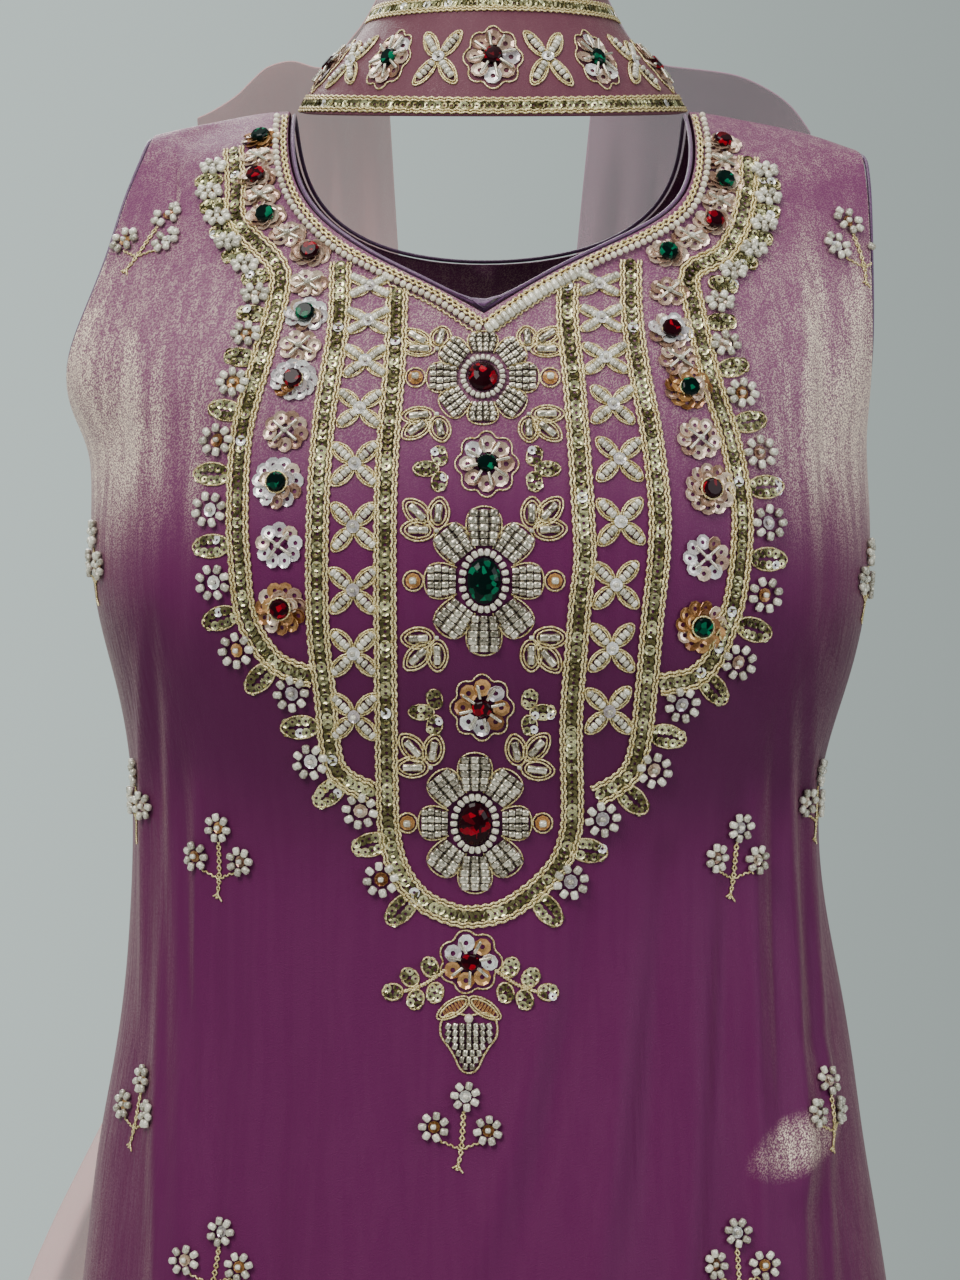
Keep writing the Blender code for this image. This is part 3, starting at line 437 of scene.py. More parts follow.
@dataclass(frozen=True)
class ZariFinish(Finish):
    """Metal-wrapped thread, twisted and couched down."""

    def pattern(self, graph: Graph) -> None:
        """Lay the twist.

        Args:
            graph: The material's graph.
        """
        twist = graph.noise((1700.0, 1700.0, 1700.0), 1.0)
        graph.shade(Base_Color=graph.mix(graph.remap(twist, 0.36, 0.62), self.dark, self.light),
                    Roughness=graph.remap(twist, 0.3, 0.7, 0.48, 0.28),
                    Metallic=0.5, Specular_IOR_Level=0.6)
        graph.bump(twist, 0.0003, 0.8)


@dataclass(frozen=True)
class SequinFinish(Finish):
    """Flat metallised sequins, each a little lighter or darker than the next."""

    metallic: float = 0.85
    roughness: float = 0.2

    def pattern(self, graph: Graph) -> None:
        """Lay each sequin's own tint and its scuffs.

        Args:
            graph: The material's graph.
        """
        scuffs = graph.noise((900.0, 900.0, 900.0))
        own = graph.mix(graph.remap(graph.tint(), 0.0, 1.0), self.dark, self.light)
        graph.shade(Base_Color=graph.mix(graph.remap(scuffs, 0.4, 0.75, 0.0, 0.35), own, self.dark),
                    Roughness=graph.remap(scuffs, 0.3, 0.7, self.roughness, self.roughness + 0.12),
                    Metallic=self.metallic, Coat_Weight=0.4, Coat_Roughness=0.12)


@dataclass(frozen=True)
class BeadFinish(Finish):
    """Silver-lined glass beads and pearls."""

    metallic: float = 0.25
    roughness: float = 0.18

    def pattern(self, graph: Graph) -> None:
        """Lay each bead's own tint and its lining.

        Args:
            graph: The material's graph.
        """
        tint = graph.remap(graph.tint(), 0.0, 1.0, 0.0, 0.8)
        lining = graph.remap(graph.noise((1100.0, 1100.0, 1100.0), 1.0), 0.35, 0.7, 0.0, 0.5)
        graph.shade(Base_Color=graph.mix(graph.plus(tint, lining), self.dark, self.light),
                    Roughness=graph.remap(lining, 0.0, 0.5, self.roughness, self.roughness + 0.15),
                    Metallic=self.metallic, Coat_Weight=0.7, Coat_Roughness=0.06, IOR=1.52)


@dataclass(frozen=True)
class GlassFinish(Finish):
    """Foil-backed faceted glass."""

    def pattern(self, graph: Graph) -> None:
        """Lay painted reflections: bright random cells that stand in for the facets' flashes.

        Args:
            graph: The material's graph.
        """
        painted_facet_flash = graph.remap(graph.cells(420.0), 0.7, 1.0)
        graph.shade(Base_Color=graph.mix(painted_facet_flash, self.dark, self.light),
                    Roughness=graph.remap(painted_facet_flash, 0.0, 1.0, 0.05, 0.16),
                    Coat_Weight=0.05, Coat_Roughness=0.02, IOR=1.5, Specular_IOR_Level=0.08)


# Tissue colours: dark and light for the ground, weft for the painted weft highlight and the sheen;
# glint, rest and gleam set the painted highlights and the painted chest light.
PLUM_TISSUE = TissueFinish("plum tissue silk", "plum_tissue", (0.1, 0.008, 0.064),
                           (0.19, 0.058, 0.135), (1.0, 0.82, 0.64), 1.0,
                           gleam=(0.1365, -0.4575))
MAUVE_TISSUE = TissueFinish("mauve tissue silk", "mauve_tissue", (0.085, 0.02, 0.038),
                            (0.2, 0.075, 0.1), (0.74, 0.56, 0.46), 0.34, 1.0, 0.3)
SHEER_ROSE = TissueFinish("sheer rose tissue silk", "mauve_tissue", (0.85, 0.4, 0.42),
                          (0.87, 0.54, 0.53), (0.86, 0.56, 0.5), 0.4, 1.0, 0.3, alpha=0.46)
SHEER_MAUVE = TissueFinish("sheer mauve tissue silk", "mauve_tissue", (0.44, 0.18, 0.3),
                           (0.58, 0.29, 0.39), (0.68, 0.42, 0.5), 0.4, 1.0, 0.3, alpha=0.48)
PIPING = SatinFinish("plum satin piping", "piping", (0.05, 0.009, 0.055), (0.12, 0.032, 0.125))
SALWAR_COTTON = CottonFinish("plum cotton", "salwar_cotton", (0.075, 0.018, 0.066),
                             (0.16, 0.05, 0.14))


# ------ small shapes
class Unit:
    """One small shape of unit size, kept as arrays so that hundreds join into one mesh."""

    def __init__(self, shape: bmesh.types.BMesh, smooth: bool) -> None:
        """Read a shape and free it.

        Args:
            shape: The shape, about its own origin, with +Z away from the cloth.
            smooth: Whether its faces are shaded smooth.
        """
        bmesh.ops.recalc_face_normals(shape, faces=shape.faces)
        shape.verts.index_update()
        self.points = np.array([tuple(vert.co) for vert in shape.verts])
        self.corners = np.array([vert.index for face in shape.faces for vert in face.verts])
        self.sizes = np.array([len(face.verts) for face in shape.faces])
        self.smooth = smooth
        shape.free()


def barrel_unit(sides: int, rounding: float) -> Unit:
    """A short bead along X, of length and width 1.

    Args:
        sides: Number of sides.
        rounding: Bevel of its ends, for a width of 1.

    Returns:
        The unit.
    """
    shape = bmesh.new()
    bmesh.ops.create_cone(shape, cap_ends=True, segments=sides, radius1=0.5, radius2=0.5,
                          depth=1.0)
    rims = [edge for edge in shape.edges if abs(edge.verts[0].co.z - edge.verts[1].co.z) < 0.5]
    bmesh.ops.bevel(shape, geom=rims, offset=rounding, segments=1, profile=0.5,
                    affect="EDGES", material=-1)
    bmesh.ops.rotate(shape, verts=shape.verts, matrix=Matrix.Rotation(math.pi / 2, 3, "Y"))
    bmesh.ops.translate(shape, verts=shape.verts, vec=(0.0, 0.0, 0.5))
    return Unit(shape, smooth=True)


def pearl_unit() -> Unit:
    """A round pearl of diameter 1 that stands on the cloth."""
    shape = bmesh.new()
    bmesh.ops.create_uvsphere(shape, u_segments=8, v_segments=5, radius=0.5)
    bmesh.ops.translate(shape, verts=shape.verts, vec=(0.0, 0.0, 0.5))
    return Unit(shape, smooth=True)


def sequin_unit() -> Unit:
    """A cupped sequin of diameter 1 with its hole."""
    shape = bmesh.new()
    bmesh.ops.create_circle(shape, cap_ends=True, segments=9, radius=0.5)
    for thickness, sink in ((0.17, -0.08), (0.18, -0.02)):
        middle = max(shape.faces, key=lambda face: len(face.verts))
        bmesh.ops.inset_region(shape, faces=[middle], thickness=thickness, depth=sink,
                               use_boundary=True)
    middle = max(shape.faces, key=lambda face: len(face.verts))
    bmesh.ops.delete(shape, geom=[middle], context="FACES_ONLY")
    bmesh.ops.solidify(shape, geom=shape.faces, thickness=0.04)
    bmesh.ops.translate(shape, verts=shape.verts, vec=(0.0, 0.0, 0.12))
    return Unit(shape, smooth=False)


def stone_unit(sides: int, cuts: tuple[Place, ...]) -> Unit:
    """A faceted stone of diameter 1 and height 1, flat on its back.

    Args:
        sides: Facets round it.
        cuts: Width and rise of each ring of facets, from the rim to the table.

    Returns:
        The unit.
    """
    shape = bmesh.new()
    bmesh.ops.create_cone(shape, cap_ends=True, segments=sides, radius1=0.5, radius2=0.5,
                          depth=0.45)
    bmesh.ops.translate(shape, verts=shape.verts, vec=(0.0, 0.0, 0.225))
    for thickness, rise in cuts:
        shape.faces.ensure_lookup_table()
        table = max(shape.faces, key=lambda face: face.calc_center_median().z)
        bmesh.ops.inset_region(shape, faces=[table], thickness=thickness, depth=rise)
    return Unit(shape, smooth=False)


@dataclass(frozen=True)
class Sewn:
    """What a trim is: the group of pieces it joins, its finish and its unit shape."""

    group: str
    finish: Finish
    unit: Unit | None = None


SEQUIN = sequin_unit()
SMALL_STONE = stone_unit(10, ((0.06, 0.2), (0.07, 0.12)))
BIG_STONE = stone_unit(16, ((0.07, 0.22), (0.12, 0.22), (0.16, 0.1)))
# Glass colours: dark is the stone's own, light that of its painted facet flashes.
RUBY_GLASS = GlassFinish("ruby glass", "ruby_glass", (0.012, 0.0, 0.002), (0.3, 0.0, 0.01))
EMERALD_GLASS = GlassFinish("emerald glass", "emerald_glass", (0.0, 0.005, 0.004),
                            (0.0, 0.13, 0.06))


class Trim(Enum):
    """What is couched or sewn on, in the order of the materials of a joined piece."""

    CORD = Sewn("gold", ZariFinish("gold zari cord", "gold_work", (0.32, 0.21, 0.06),
                                   (1.0, 0.86, 0.46)))
    OLIVE = Sewn("gold", SequinFinish("olive gold sequins", "gold_work", (0.085, 0.068, 0.016),
                                      (0.8, 0.76, 0.42)), SEQUIN)
    SILVER = Sewn("gold", SequinFinish("white sequins", "gold_work", (0.5, 0.44, 0.46),
                                       (0.95, 0.94, 0.92), metallic=0.45), SEQUIN)
    ROSE = Sewn("gold", SequinFinish("rose silver sequins", "gold_work", (0.34, 0.19, 0.13),
                                     (0.82, 0.64, 0.5), metallic=0.6), SEQUIN)
    COPPER = Sewn("gold", SequinFinish("amber sequins", "gold_work", (0.2, 0.07, 0.016),
                                       (0.62, 0.33, 0.12), metallic=0.6), SEQUIN)
    PEARL = Sewn("beads", BeadFinish("pearl", "bead_work", (0.5, 0.43, 0.32),
                                     (0.82, 0.75, 0.6), 0.1, 0.24), pearl_unit())
    BEAD = Sewn("beads", BeadFinish("white cut beads", "bead_work", (0.26, 0.23, 0.17),
                                    (0.74, 0.7, 0.58), metallic=0.2), barrel_unit(7, 0.16))
    BUGLE = Sewn("beads", BeadFinish("silver-lined bugles", "bead_work", (0.13, 0.105, 0.07),
                                     (0.66, 0.6, 0.48), 0.75, 0.16), barrel_unit(6, 0.06))
    RUBY = Sewn("ruby", RUBY_GLASS, SMALL_STONE)
    BIG_RUBY = Sewn("ruby", RUBY_GLASS, BIG_STONE)
    EMERALD = Sewn("emerald", EMERALD_GLASS, SMALL_STONE)
    BIG_EMERALD = Sewn("emerald", EMERALD_GLASS, BIG_STONE)


def dress(piece: bpy.types.Object, *finishes: Finish) -> None:
    """Give a piece its finishes and its body.

    Args:
        piece: The piece.
        finishes: Its finishes, in the order of its material indices.
    """
    for finish in finishes:
        piece.data.materials.append(finish.material())
    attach(piece, "root")


def link(name: str, data: bpy.types.ID) -> bpy.types.Object:
    """Put a mesh, a curve, a camera or a light in the scene.

    Args:
        name: The new object's name.
        data: What it shows.

    Returns:
        The object.
    """
    data.name = name
    made = bpy.data.objects.new(name, data)
    bpy.context.scene.collection.objects.link(made)
    return made


def evaluated(piece: bpy.types.Object) -> bpy.types.Mesh:
    """A new mesh of a piece or a curve, with its modifiers at work."""
    graph = bpy.context.evaluated_depsgraph_get()
    return bpy.data.meshes.new_from_object(piece.evaluated_get(graph), depsgraph=graph)


def quads(node: str, bend: float) -> bmesh.types.BMesh:
    """A solid of the record as a shape of quads.

    Args:
        node: The solid's name.
        bend: Most that two triangles of a quad may bend, in degrees.

    Returns:
        The shape.
    """
    shape = bmesh.new()
    shape.from_mesh(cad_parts[node].data)
    bmesh.ops.remove_doubles(shape, verts=shape.verts, dist=0.00001)
    bmesh.ops.join_triangles(shape, faces=shape.faces, cmp_seam=False, cmp_sharp=False,
                             cmp_uvs=False, cmp_vcols=False, cmp_materials=False,
                             angle_face_threshold=math.radians(bend),
                             angle_shape_threshold=math.radians(80))
    return shape


def sharpen(shape: bmesh.types.BMesh) -> None:
    """Keep the neck's point sharp when the shape is smoothed."""
    layer = shape.verts.layers.float.new("crease_vert")
    for vert in shape.verts:
        away = abs(vert.co.x - NECK_POINT[0]), abs(vert.co.z - NECK_POINT[1])
        if away[0] < NECK_REACH[0] and away[1] < NECK_REACH[1]:
            vert[layer] = 1.0


def smoothed(name: str, shape: bmesh.types.BMesh, levels: int) -> bpy.types.Object:
    """Put a shape in the scene under a smoothing modifier.

    Args:
        name: The piece's name.
        shape: The shape, which is freed.
        levels: How often its faces are split.

    Returns:
        The piece.
    """
    mesh = bpy.data.meshes.new(name)
    shape.to_mesh(mesh)
    shape.free()
    mesh.shade_smooth()
    piece = link(name, mesh)
    smooth = piece.modifiers.new("smooth", "SUBSURF")
    smooth.levels = smooth.render_levels = levels
    return piece


# ------ cloth
def crease(points: np.ndarray, top_x: float, top_z: float, end_x: float, end_z: float,
           width: float, depth: float, bow: float = 0.0) -> np.ndarray:
    """How far a soft ridge, or a trough where depth is below 0, lifts the cloth.

    Args:
        points: Places of the cloth.
        top_x: The crease's upper end, sideways.
        top_z: The upper end's height.
        end_x: Its lower end, sideways.
        end_z: The lower end's height.
        width: Half width.
        depth: Lift in its middle.
        bow: How far its middle bends sideways.

    Returns:
        The lift at each place.
    """
    along = (top_z - points[:, 2]) / (top_z - end_z)
    inside = np.clip(along, 0.0, 1.0)
    middle = top_x + (end_x - top_x) * along
    middle = middle + bow * np.sin(math.pi * inside)
    rise = np.where((along > 0.0) & (along < 1.0), np.sin(math.pi * inside) ** 0.8, 0.0)
    return depth * rise * np.exp(-((points[:, 0] - middle) / width) ** 2)


def mirrored(creases: Creases, way: int) -> Creases:
    """Creases of the right side, or with way -1 of the left."""
    return tuple((way * row[0], row[1], way * row[2], *row[3:]) for row in creases)


@dataclass
class Cloth:
    """One cut piece of cloth: the outer wall of its solid, smoothed, creased and given body."""

    node: str
    finish: Finish
    axis: Place
    flat: Place
    held: str
    area: float | None = None
    rests_on: tuple[str, ...] = ()
    creases: Creases = ()
    levels: int = 2
    thickness: float = 0.0007
    shortest_edge: float = 0.0016
    pointed: bool = False
    tuck: float = 0.0

    def open_sheet(self) -> bmesh.types.BMesh:
        """The solid's outer wall as an open sheet of quads.

        Returns:
            The sheet.
        """
        sheet = quads(self.node, 60)
        rim = [face for face in sheet.faces
               if min(edge.calc_length() for edge in face.edges) < self.shortest_edge]
        bmesh.ops.delete(sheet, geom=rim, context="FACES")
        walls = self.islands(sheet)
        outer = max(walls, key=lambda faces: sum(self.outward(face) for face in faces))
        inner = [face for faces in walls if faces is not outer for face in faces]
        bmesh.ops.delete(sheet, geom=inner, context="FACES")
        return sheet

    def turn_in(self, sheet: bmesh.types.BMesh) -> None:
        """Let the lower raw edge run on into the piece that it is sewn to.

        Args:
            sheet: The open sheet.
        """
        low = min(vert.co.z for vert in sheet.verts)
        edges = [edge for edge in sheet.edges if edge.is_boundary
                 and max(vert.co.z for vert in edge.verts) < low + 0.001]
        fresh = bmesh.ops.extrude_edge_only(sheet, edges=edges)["geom"]
        verts = [item for item in fresh if isinstance(item, bmesh.types.BMVert)]
        bmesh.ops.translate(sheet, verts=verts, vec=(0.0, 0.0, -self.tuck))

    def outward(self, face: bmesh.types.BMFace) -> float:
        """How far a face turns away from the hollow's axis, by area.

        Args:
            face: The face.

        Returns:
            Its area, less where it turns sideways, below 0 where it faces the axis.
        """
        middle = face.calc_center_median()
        away = Vector((middle.x - self.axis[0], middle.y - self.axis[1], 0.0)).normalized()
        return face.normal.dot(away) * face.calc_area()

    @staticmethod
    def islands(sheet: bmesh.types.BMesh) -> list[list[bmesh.types.BMFace]]:
        """Groups of faces that share edges.

        Args:
            sheet: The mesh.

        Returns:
            The groups.
        """
        groups, seen = [], set()
        for first in sheet.faces:
            if first in seen:
                continue
            seen.add(first)
            group, waiting = [], [first]
            while waiting:
                face = waiting.pop()
                group.append(face)
                for edge in face.edges:
                    for beside in edge.link_faces:
                        if beside not in seen:
                            seen.add(beside)
                            waiting.append(beside)
            groups.append(group)
        return groups

    def build(self) -> bpy.types.Object:
        """Make the finished piece.

        Returns:
            The piece.
        """
        sheet = self.open_sheet()
        if self.pointed:
            sharpen(sheet)
        if self.tuck:
            self.turn_in(sheet)
        piece = smoothed(f"{self.node}_cloth", sheet, self.levels)
        rough, fine = piece.data, evaluated(piece)
        piece.modifiers.clear()
        piece.data = fine
        bpy.data.meshes.remove(rough)
        fine.name = piece.name
        self.press(fine)
        wall = piece.modifiers.new("cloth", "SOLIDIFY")
        wall.thickness = self.thickness
        wall.offset = -1.0
        dress(piece, self.finish)
        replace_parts(piece, self.node)
        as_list(self.rests_on)
        log.info("%s: %d faces", piece.name, len(fine.polygons))
        return piece

    def press(self, mesh: bpy.types.Mesh) -> None:
        """Press the creases into the sheet along its own normals.

        Args:
            mesh: The smoothed sheet.
        """
        if not self.creases:
            return
        count = len(mesh.vertices)
        points = np.empty(count * 3)
        normals = np.empty(count * 3)
        mesh.vertices.foreach_get("co", points)
        mesh.vertex_normals.foreach_get("vector", normals)
        points, normals = points.reshape(-1, 3), normals.reshape(-1, 3)
        lift = sum(crease(points, *row) for row in self.creases)
        points += normals * lift[:, None]
        mesh.vertices.foreach_set("co", points.ravel())
        mesh.update()


# ------ grounds
class Ground:
    """Cloth that embroidery lies on; the subclasses say how a flat place meets it."""

    def __init__(self, piece: bpy.types.Object) -> None:
        """Read the finished cloth.

        Args:
            piece: The cloth, without its inner wall.
        """
        mesh = piece.data
        points = [vert.co.copy() for vert in mesh.vertices]
        faces = [tuple(face.vertices) for face in mesh.polygons]
        self.tree = BVHTree.FromPolygons(points, faces)

    def ray(self, u: float, v: float) -> Hit:
        """Start and direction of the line that meets the cloth at a flat place."""
        raise NotImplementedError

    def at(self, u: float, v: float) -> Hit | None:
        """The cloth's point and outward normal at a flat place.

        Args:
            u: Distance across.
            v: Distance up.

        Returns:
            Point and normal, or None past the cloth's edge.
        """
        start, way = self.ray(u, v)
        point, normal, _, _ = self.tree.ray_cast(start, way)
        if point is None:
            return None
        return point, normal if normal.dot(way) < 0 else -normal


class FrontGround(Ground):
    """Front view of the cloth: across is x and up is z."""

    def ray(self, u: float, v: float) -> Hit:
        """From ahead, straight back."""
        return Vector((u, -1.0, v)), Vector((0.0, 1.0, 0.0))


@dataclass
class RoundGround(Ground):
    """Cloth round an axis: across is an angle times the radius, 0 straight ahead."""

    piece: bpy.types.Object
    axis: Place
    radius: float
    facing: float = 0.0

    def __post_init__(self) -> None:
        """Read the cloth."""
        super().__init__(self.piece)

    def ray(self, u: float, v: float) -> Hit:
        """From outside, towards the axis."""
        angle = self.facing + u / self.radius
        out = Vector((math.sin(angle), -math.cos(angle), 0.0))
        return Vector((self.axis[0], self.axis[1], v)) + out, -out


class Needlework:
    """Everything sewn on for one part of the embroidery, joined into a few pieces."""

    def __init__(self, name: str, ground: Ground) -> None:
        """Start an empty piece of work.

        Args:
            name: First part of its pieces' names.
            ground: What it is sewn on.
        """
        self.name = name
        self.ground = ground
        self.sewn: dict[Trim, list[tuple[Matrix, float]]] = {}
        self.cords: list[tuple[list[Vector], float, bool]] = []
        self.chance = random.Random(name)

    def cord_mesh(self) -> bpy.types.Mesh:
        """All the cords as one mesh.

        Returns:
            The mesh.
        """
        curve = bpy.data.curves.new(self.name, "CURVE")
        curve.dimensions = "3D"
        curve.bevel_depth = 0.5
        curve.bevel_resolution = 0
        curve.use_fill_caps = True
        for points, width, closed in self.cords:
            spline = curve.splines.new("POLY")
            spline.points.add(len(points) - 1)
            spline.use_cyclic_u = closed
            for number, (place, point) in enumerate(zip(spline.points, points)):
                place.co = (*point, 1.0)
                place.radius = width * (1.0 if number % 2 else 0.76)
        holder = link(self.name, curve)
        mesh = evaluated(holder)
        bpy.data.objects.remove(holder)
        bpy.data.curves.remove(curve)
        return mesh

    def cord_arrays(self) -> tuple[np.ndarray, np.ndarray, np.ndarray]:
        """The cords as arrays.

        Returns:
            Points, the faces' corners one after another, and each face's number of corners.
        """
        mesh = self.cord_mesh()
        points = np.empty(len(mesh.vertices) * 3)
        corners = np.empty(len(mesh.loops), dtype=int)
        sizes = np.empty(len(mesh.polygons), dtype=int)
        mesh.vertices.foreach_get("co", points)
        mesh.loops.foreach_get("vertex_index", corners)
        mesh.polygons.foreach_get("loop_total", sizes)
        bpy.data.meshes.remove(mesh)
        return points.reshape(-1, 3), corners, sizes

    def finish(self) -> dict[str, bpy.types.Object]:
        """Join what was sewn into one piece for each group of finishes.

        Returns:
            The pieces by group.
        """
        used: dict[str, list[Trim]] = {}
        for trim in Trim:
            if trim in self.sewn or (trim is Trim.CORD and self.cords):
                used.setdefault(trim.value.group, []).append(trim)
        return {group: self.join(f"{self.name}_{group}", trims) for group, trims in used.items()}

    def join(self, name: str, trims: list[Trim]) -> bpy.types.Object:
        """Join some of what was sewn into one piece.

        Args:
            name: The piece's name.
            trims: What goes into it.

        Returns:
            The piece.
        """
        parts, start = [], 0
        for slot, trim in enumerate(trims):
            if trim is Trim.CORD:
                spots, loops, sides = self.cord_arrays()
                shades, soft = np.full(len(spots), 0.5), True
            else:
                unit, sewn = trim.value.unit, self.sewn[trim]
                places = np.array([[list(row) for row in place] for place, _ in sewn])
                spots = (np.einsum("kij,nj->kni", places[:, :3, :3], unit.points)
                         + places[:, None, :3, 3]).reshape(-1, 3)
                copies = np.arange(len(places))[:, None] * len(unit.points)
                loops = (unit.corners[None, :] + copies).ravel()
                sides = np.tile(unit.sizes, len(places))
                shades = np.repeat([shade for _, shade in sewn], len(unit.points))
                soft = unit.smooth
            faces = len(sides)
            parts.append((spots, loops + start, sides, np.full(faces, slot),
                          np.full(faces, soft), shades))
            start += len(spots)
        points, loops, sides, slots, smooth, tints = map(np.concatenate, zip(*parts))
        firsts = np.cumsum(sides) - sides
        mesh = bpy.data.meshes.new(name)
        mesh.vertices.add(len(points))
        mesh.loops.add(len(loops))
        mesh.polygons.add(len(sides))
        mesh.vertices.foreach_set("co", points.ravel())
        mesh.loops.foreach_set("vertex_index", loops.astype(np.int32))
        mesh.polygons.foreach_set("loop_start", firsts.astype(np.int32))
        mesh.polygons.foreach_set("material_index", slots.astype(np.int32))
        mesh.polygons.foreach_set("use_smooth", smooth)
        mesh.update(calc_edges=True)
        mesh.attributes.new("tint", "FLOAT", "POINT").data.foreach_set("value", tints)
        piece = link(name, mesh)
        dress(piece, *(trim.value.finish for trim in trims))
        log.info("%s: %d faces", name, len(sides))
        return piece


@dataclass
class Spot:
    """Where a motif of some needlework lies, and how it is turned and squeezed."""

    needle: Needlework
    u: float
    v: float
    turn: float = 0.0
    tall: float = 1.0
    wide: float = 1.0
    true_size: bool = False

    def __post_init__(self) -> None:
        """Measure the ground's own stretch where the motif keeps its real size."""
        self.chance = self.needle.chance
        if not self.true_size:
            return
        meet, step = self.needle.ground.at, 0.002
        middle = meet(self.u, self.v)
        over = meet(self.u + step, self.v) or meet(self.u - step, self.v)
        up = meet(self.u, self.v + step) or meet(self.u, self.v - step)
        if middle and over and up:
            self.wide = min(2.5, step / max(1e-5, (over[0] - middle[0]).length))
            self.tall = min(1.2, step / max(1e-5, (up[0] - middle[0]).length))

    def flat(self, a: float, b: float) -> Place:
        """A place of the motif as a place of the ground."""
        cos, sin = math.cos(self.turn), math.sin(self.turn)
        return (self.u + self.wide * (a * cos - b * sin),
                self.v + self.tall * (a * sin + b * cos))

    def at(self, a: float, b: float) -> Hit | None:
        """Point and normal of the cloth at a place of the motif."""
        return self.needle.ground.at(*self.flat(a, b))

    def inner(self, a: float, b: float, turn: float = 0.0) -> "Spot":
        """A spot for a smaller motif inside this one."""
        return Spot(self.needle, *self.flat(a, b), self.turn + turn, self.tall, self.wide)

    def sew(self, trim: Trim, a: float, b: float, size: Size, turn: float = 0.0,
            lift: float = 0.0002, tilt: float = 0.0, lean: float = 0.0,
            tint: float | None = None) -> None:
        """Sew on one bead, sequin or stone.

        Args:
            trim: What is sewn.
            a: Place across the motif.
            b: Place up the motif.
            size: Its length, width and height.
            turn: Direction of its length in the motif's plane.
            lift: Its height above the cloth.
            tilt: Most that it leans by chance, in radians.
            lean: How far it leans on its neighbour, in radians.
            tint: Its shade from 0 to 1, or None for a random one.
        """
        met = self.at(a, b)
        step = 0.0008
        ahead = self.at(a + step * math.cos(turn), b + step * math.sin(turn))
        if met is None or ahead is None:
            return
        point, normal = met
        along = ahead[0] - point
        along = (along - normal * along.dot(normal)).normalized()
        axes = Matrix((along, normal.cross(along), normal)).transposed()
        if tilt or lean:
            axes = axes @ Matrix.Rotation(lean + self.chance.uniform(-tilt, tilt), 3, "X")
            axes = axes @ Matrix.Rotation(self.chance.uniform(-tilt, tilt), 3, "Y")
        place = (axes @ Matrix.Diagonal(size)).to_4x4()
        place.translation = point + normal * lift
        shade = self.chance.random() if tint is None else tint
        self.needle.sewn.setdefault(trim, []).append((place, shade))

    def couch(self, line: list[Place], width: float, closed: bool = False,
              lift: float = 0.0) -> None:
        """Couch a cord along a line of the motif.

        Args:
            line: The cord's places in the motif.
            width: The cord's diameter.
            closed: Whether it runs round.
            lift: Extra height above the cloth.
        """
        met = [hit for hit in (self.at(a, b) for a, b in line) if hit]
        points = [point + normal * (width / 2 + lift) for point, normal in met]
        if len(points) > 1:
            self.needle.cords.append((points, width, closed and len(points) == len(line)))


# ------ lines on a ground
class Line:
    """A smooth line through stations on a ground's flat, walked in even steps."""

    def __init__(self, stations: tuple[Place, ...], spacing: float = 0.0006) -> None:
        """Lay the line.

        Args:
            stations: Places that it passes through.
            spacing: Distance between its points.
        """
        knots = [Vector(place) for place in stations]
        fine = []
        last = len(knots) - 1
        for i in range(last):
            before, after = knots[max(0, i - 1)], knots[min(last, i + 2)]
            start, end = knots[i], knots[i + 1]
            for k in range(20):
                t = k / 20
                fine.append(0.5 * ((2 * start) + (end - before) * t
                                   + (2 * before - 5 * start + 4 * end - after) * t ** 2
                                   + (3 * start - before - 3 * end + after) * t ** 3))
        fine.append(knots[-1])
        gaps = [(b - a).length for a, b in zip(fine, fine[1:])]
        lengths = np.concatenate(([0.0], np.cumsum(gaps)))
        self.length = float(lengths[-1])
        count = max(2, round(self.length / spacing))
        goals = np.linspace(0.0, self.length, count + 1)
        self.x = np.interp(goals, lengths, [p.x for p in fine])
        self.z = np.interp(goals, lengths, [p.y for p in fine])
        self.goals = goals

    def at(self, distance: float) -> Place:
        """The place a distance along the line."""
        return (float(np.interp(distance, self.goals, self.x)),
                float(np.interp(distance, self.goals, self.z)))

    def direction(self, distance: float) -> float:
        """The line's angle a distance along it."""
        a, b = self.at(distance - 0.001), self.at(distance + 0.001)
        return math.atan2(b[1] - a[1], b[0] - a[0])

    def beside(self, offset: float, zigzag: float = 0.0, wave: float = 0.003,
               phase: float = 0.0) -> list[Place]:
        """Places beside the line, for a cord that may zigzag.

        Args:
            offset: Distance to its left.
            zigzag: Half width of the zigzag.
            wave: Length of one zigzag.
            phase: Start of the zigzag, in radians.

        Returns:
            The places.
        """
        across = np.gradient(self.x)
        up = np.gradient(self.z)
        size = np.hypot(across, up)
        away = offset + zigzag * np.sin(math.tau * self.goals / wave + phase)
        return list(zip((self.x - up / size * away).tolist(),
                        (self.z + across / size * away).tolist()))


def squeeze(z: float) -> float:
    """How much the embroidery shortens up the chest and shoulder, seen from the front.

    Args:
        z: Height on the front.

    Returns:
        1 on the flat of the front, less above it.
    """
    return max(0.42, min(1.0, 1.0 - (z + 0.172) * 6.0))


def eased(needle: Needlework, x: float, z: float) -> Spot:
    """A spot on the front, squeezed where the front turns away."""
    tall = squeeze(z)
    return Spot(needle, x, z, tall=tall, wide=0.6 + 0.4 * tall)


def walk(stations: tuple[Place, ...], pitch: float) -> Iterator[tuple[float, float, float]]:
    """Walk a line of the front in steps that shorten where the front turns away.

    Args:
        stations: Places that the line passes through.
        pitch: Length of a step on the flat.

    Yields:
        Across, up and the line's angle at each step.
    """
    line, distance = Line(stations), 0.0
    while distance <= line.length:
        x, z = line.at(distance)
        yield x, z, line.direction(distance)
        distance += pitch * squeeze(z - pitch / 2)


def middle_of(node: str) -> Place:
    """The middle of a solid's box in the front view."""
    low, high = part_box(node)
    return (low.x + high.x) / 2, (low.z + high.z) / 2


def oval(half_wide: float, half_tall: float, count: int, turn: float = 0.0) -> list[Place]:
    """Places round an oval, from its right end."""
    return [(half_wide * math.cos(turn + math.tau * k / count),
             half_tall * math.sin(turn + math.tau * k / count)) for k in range(count)]


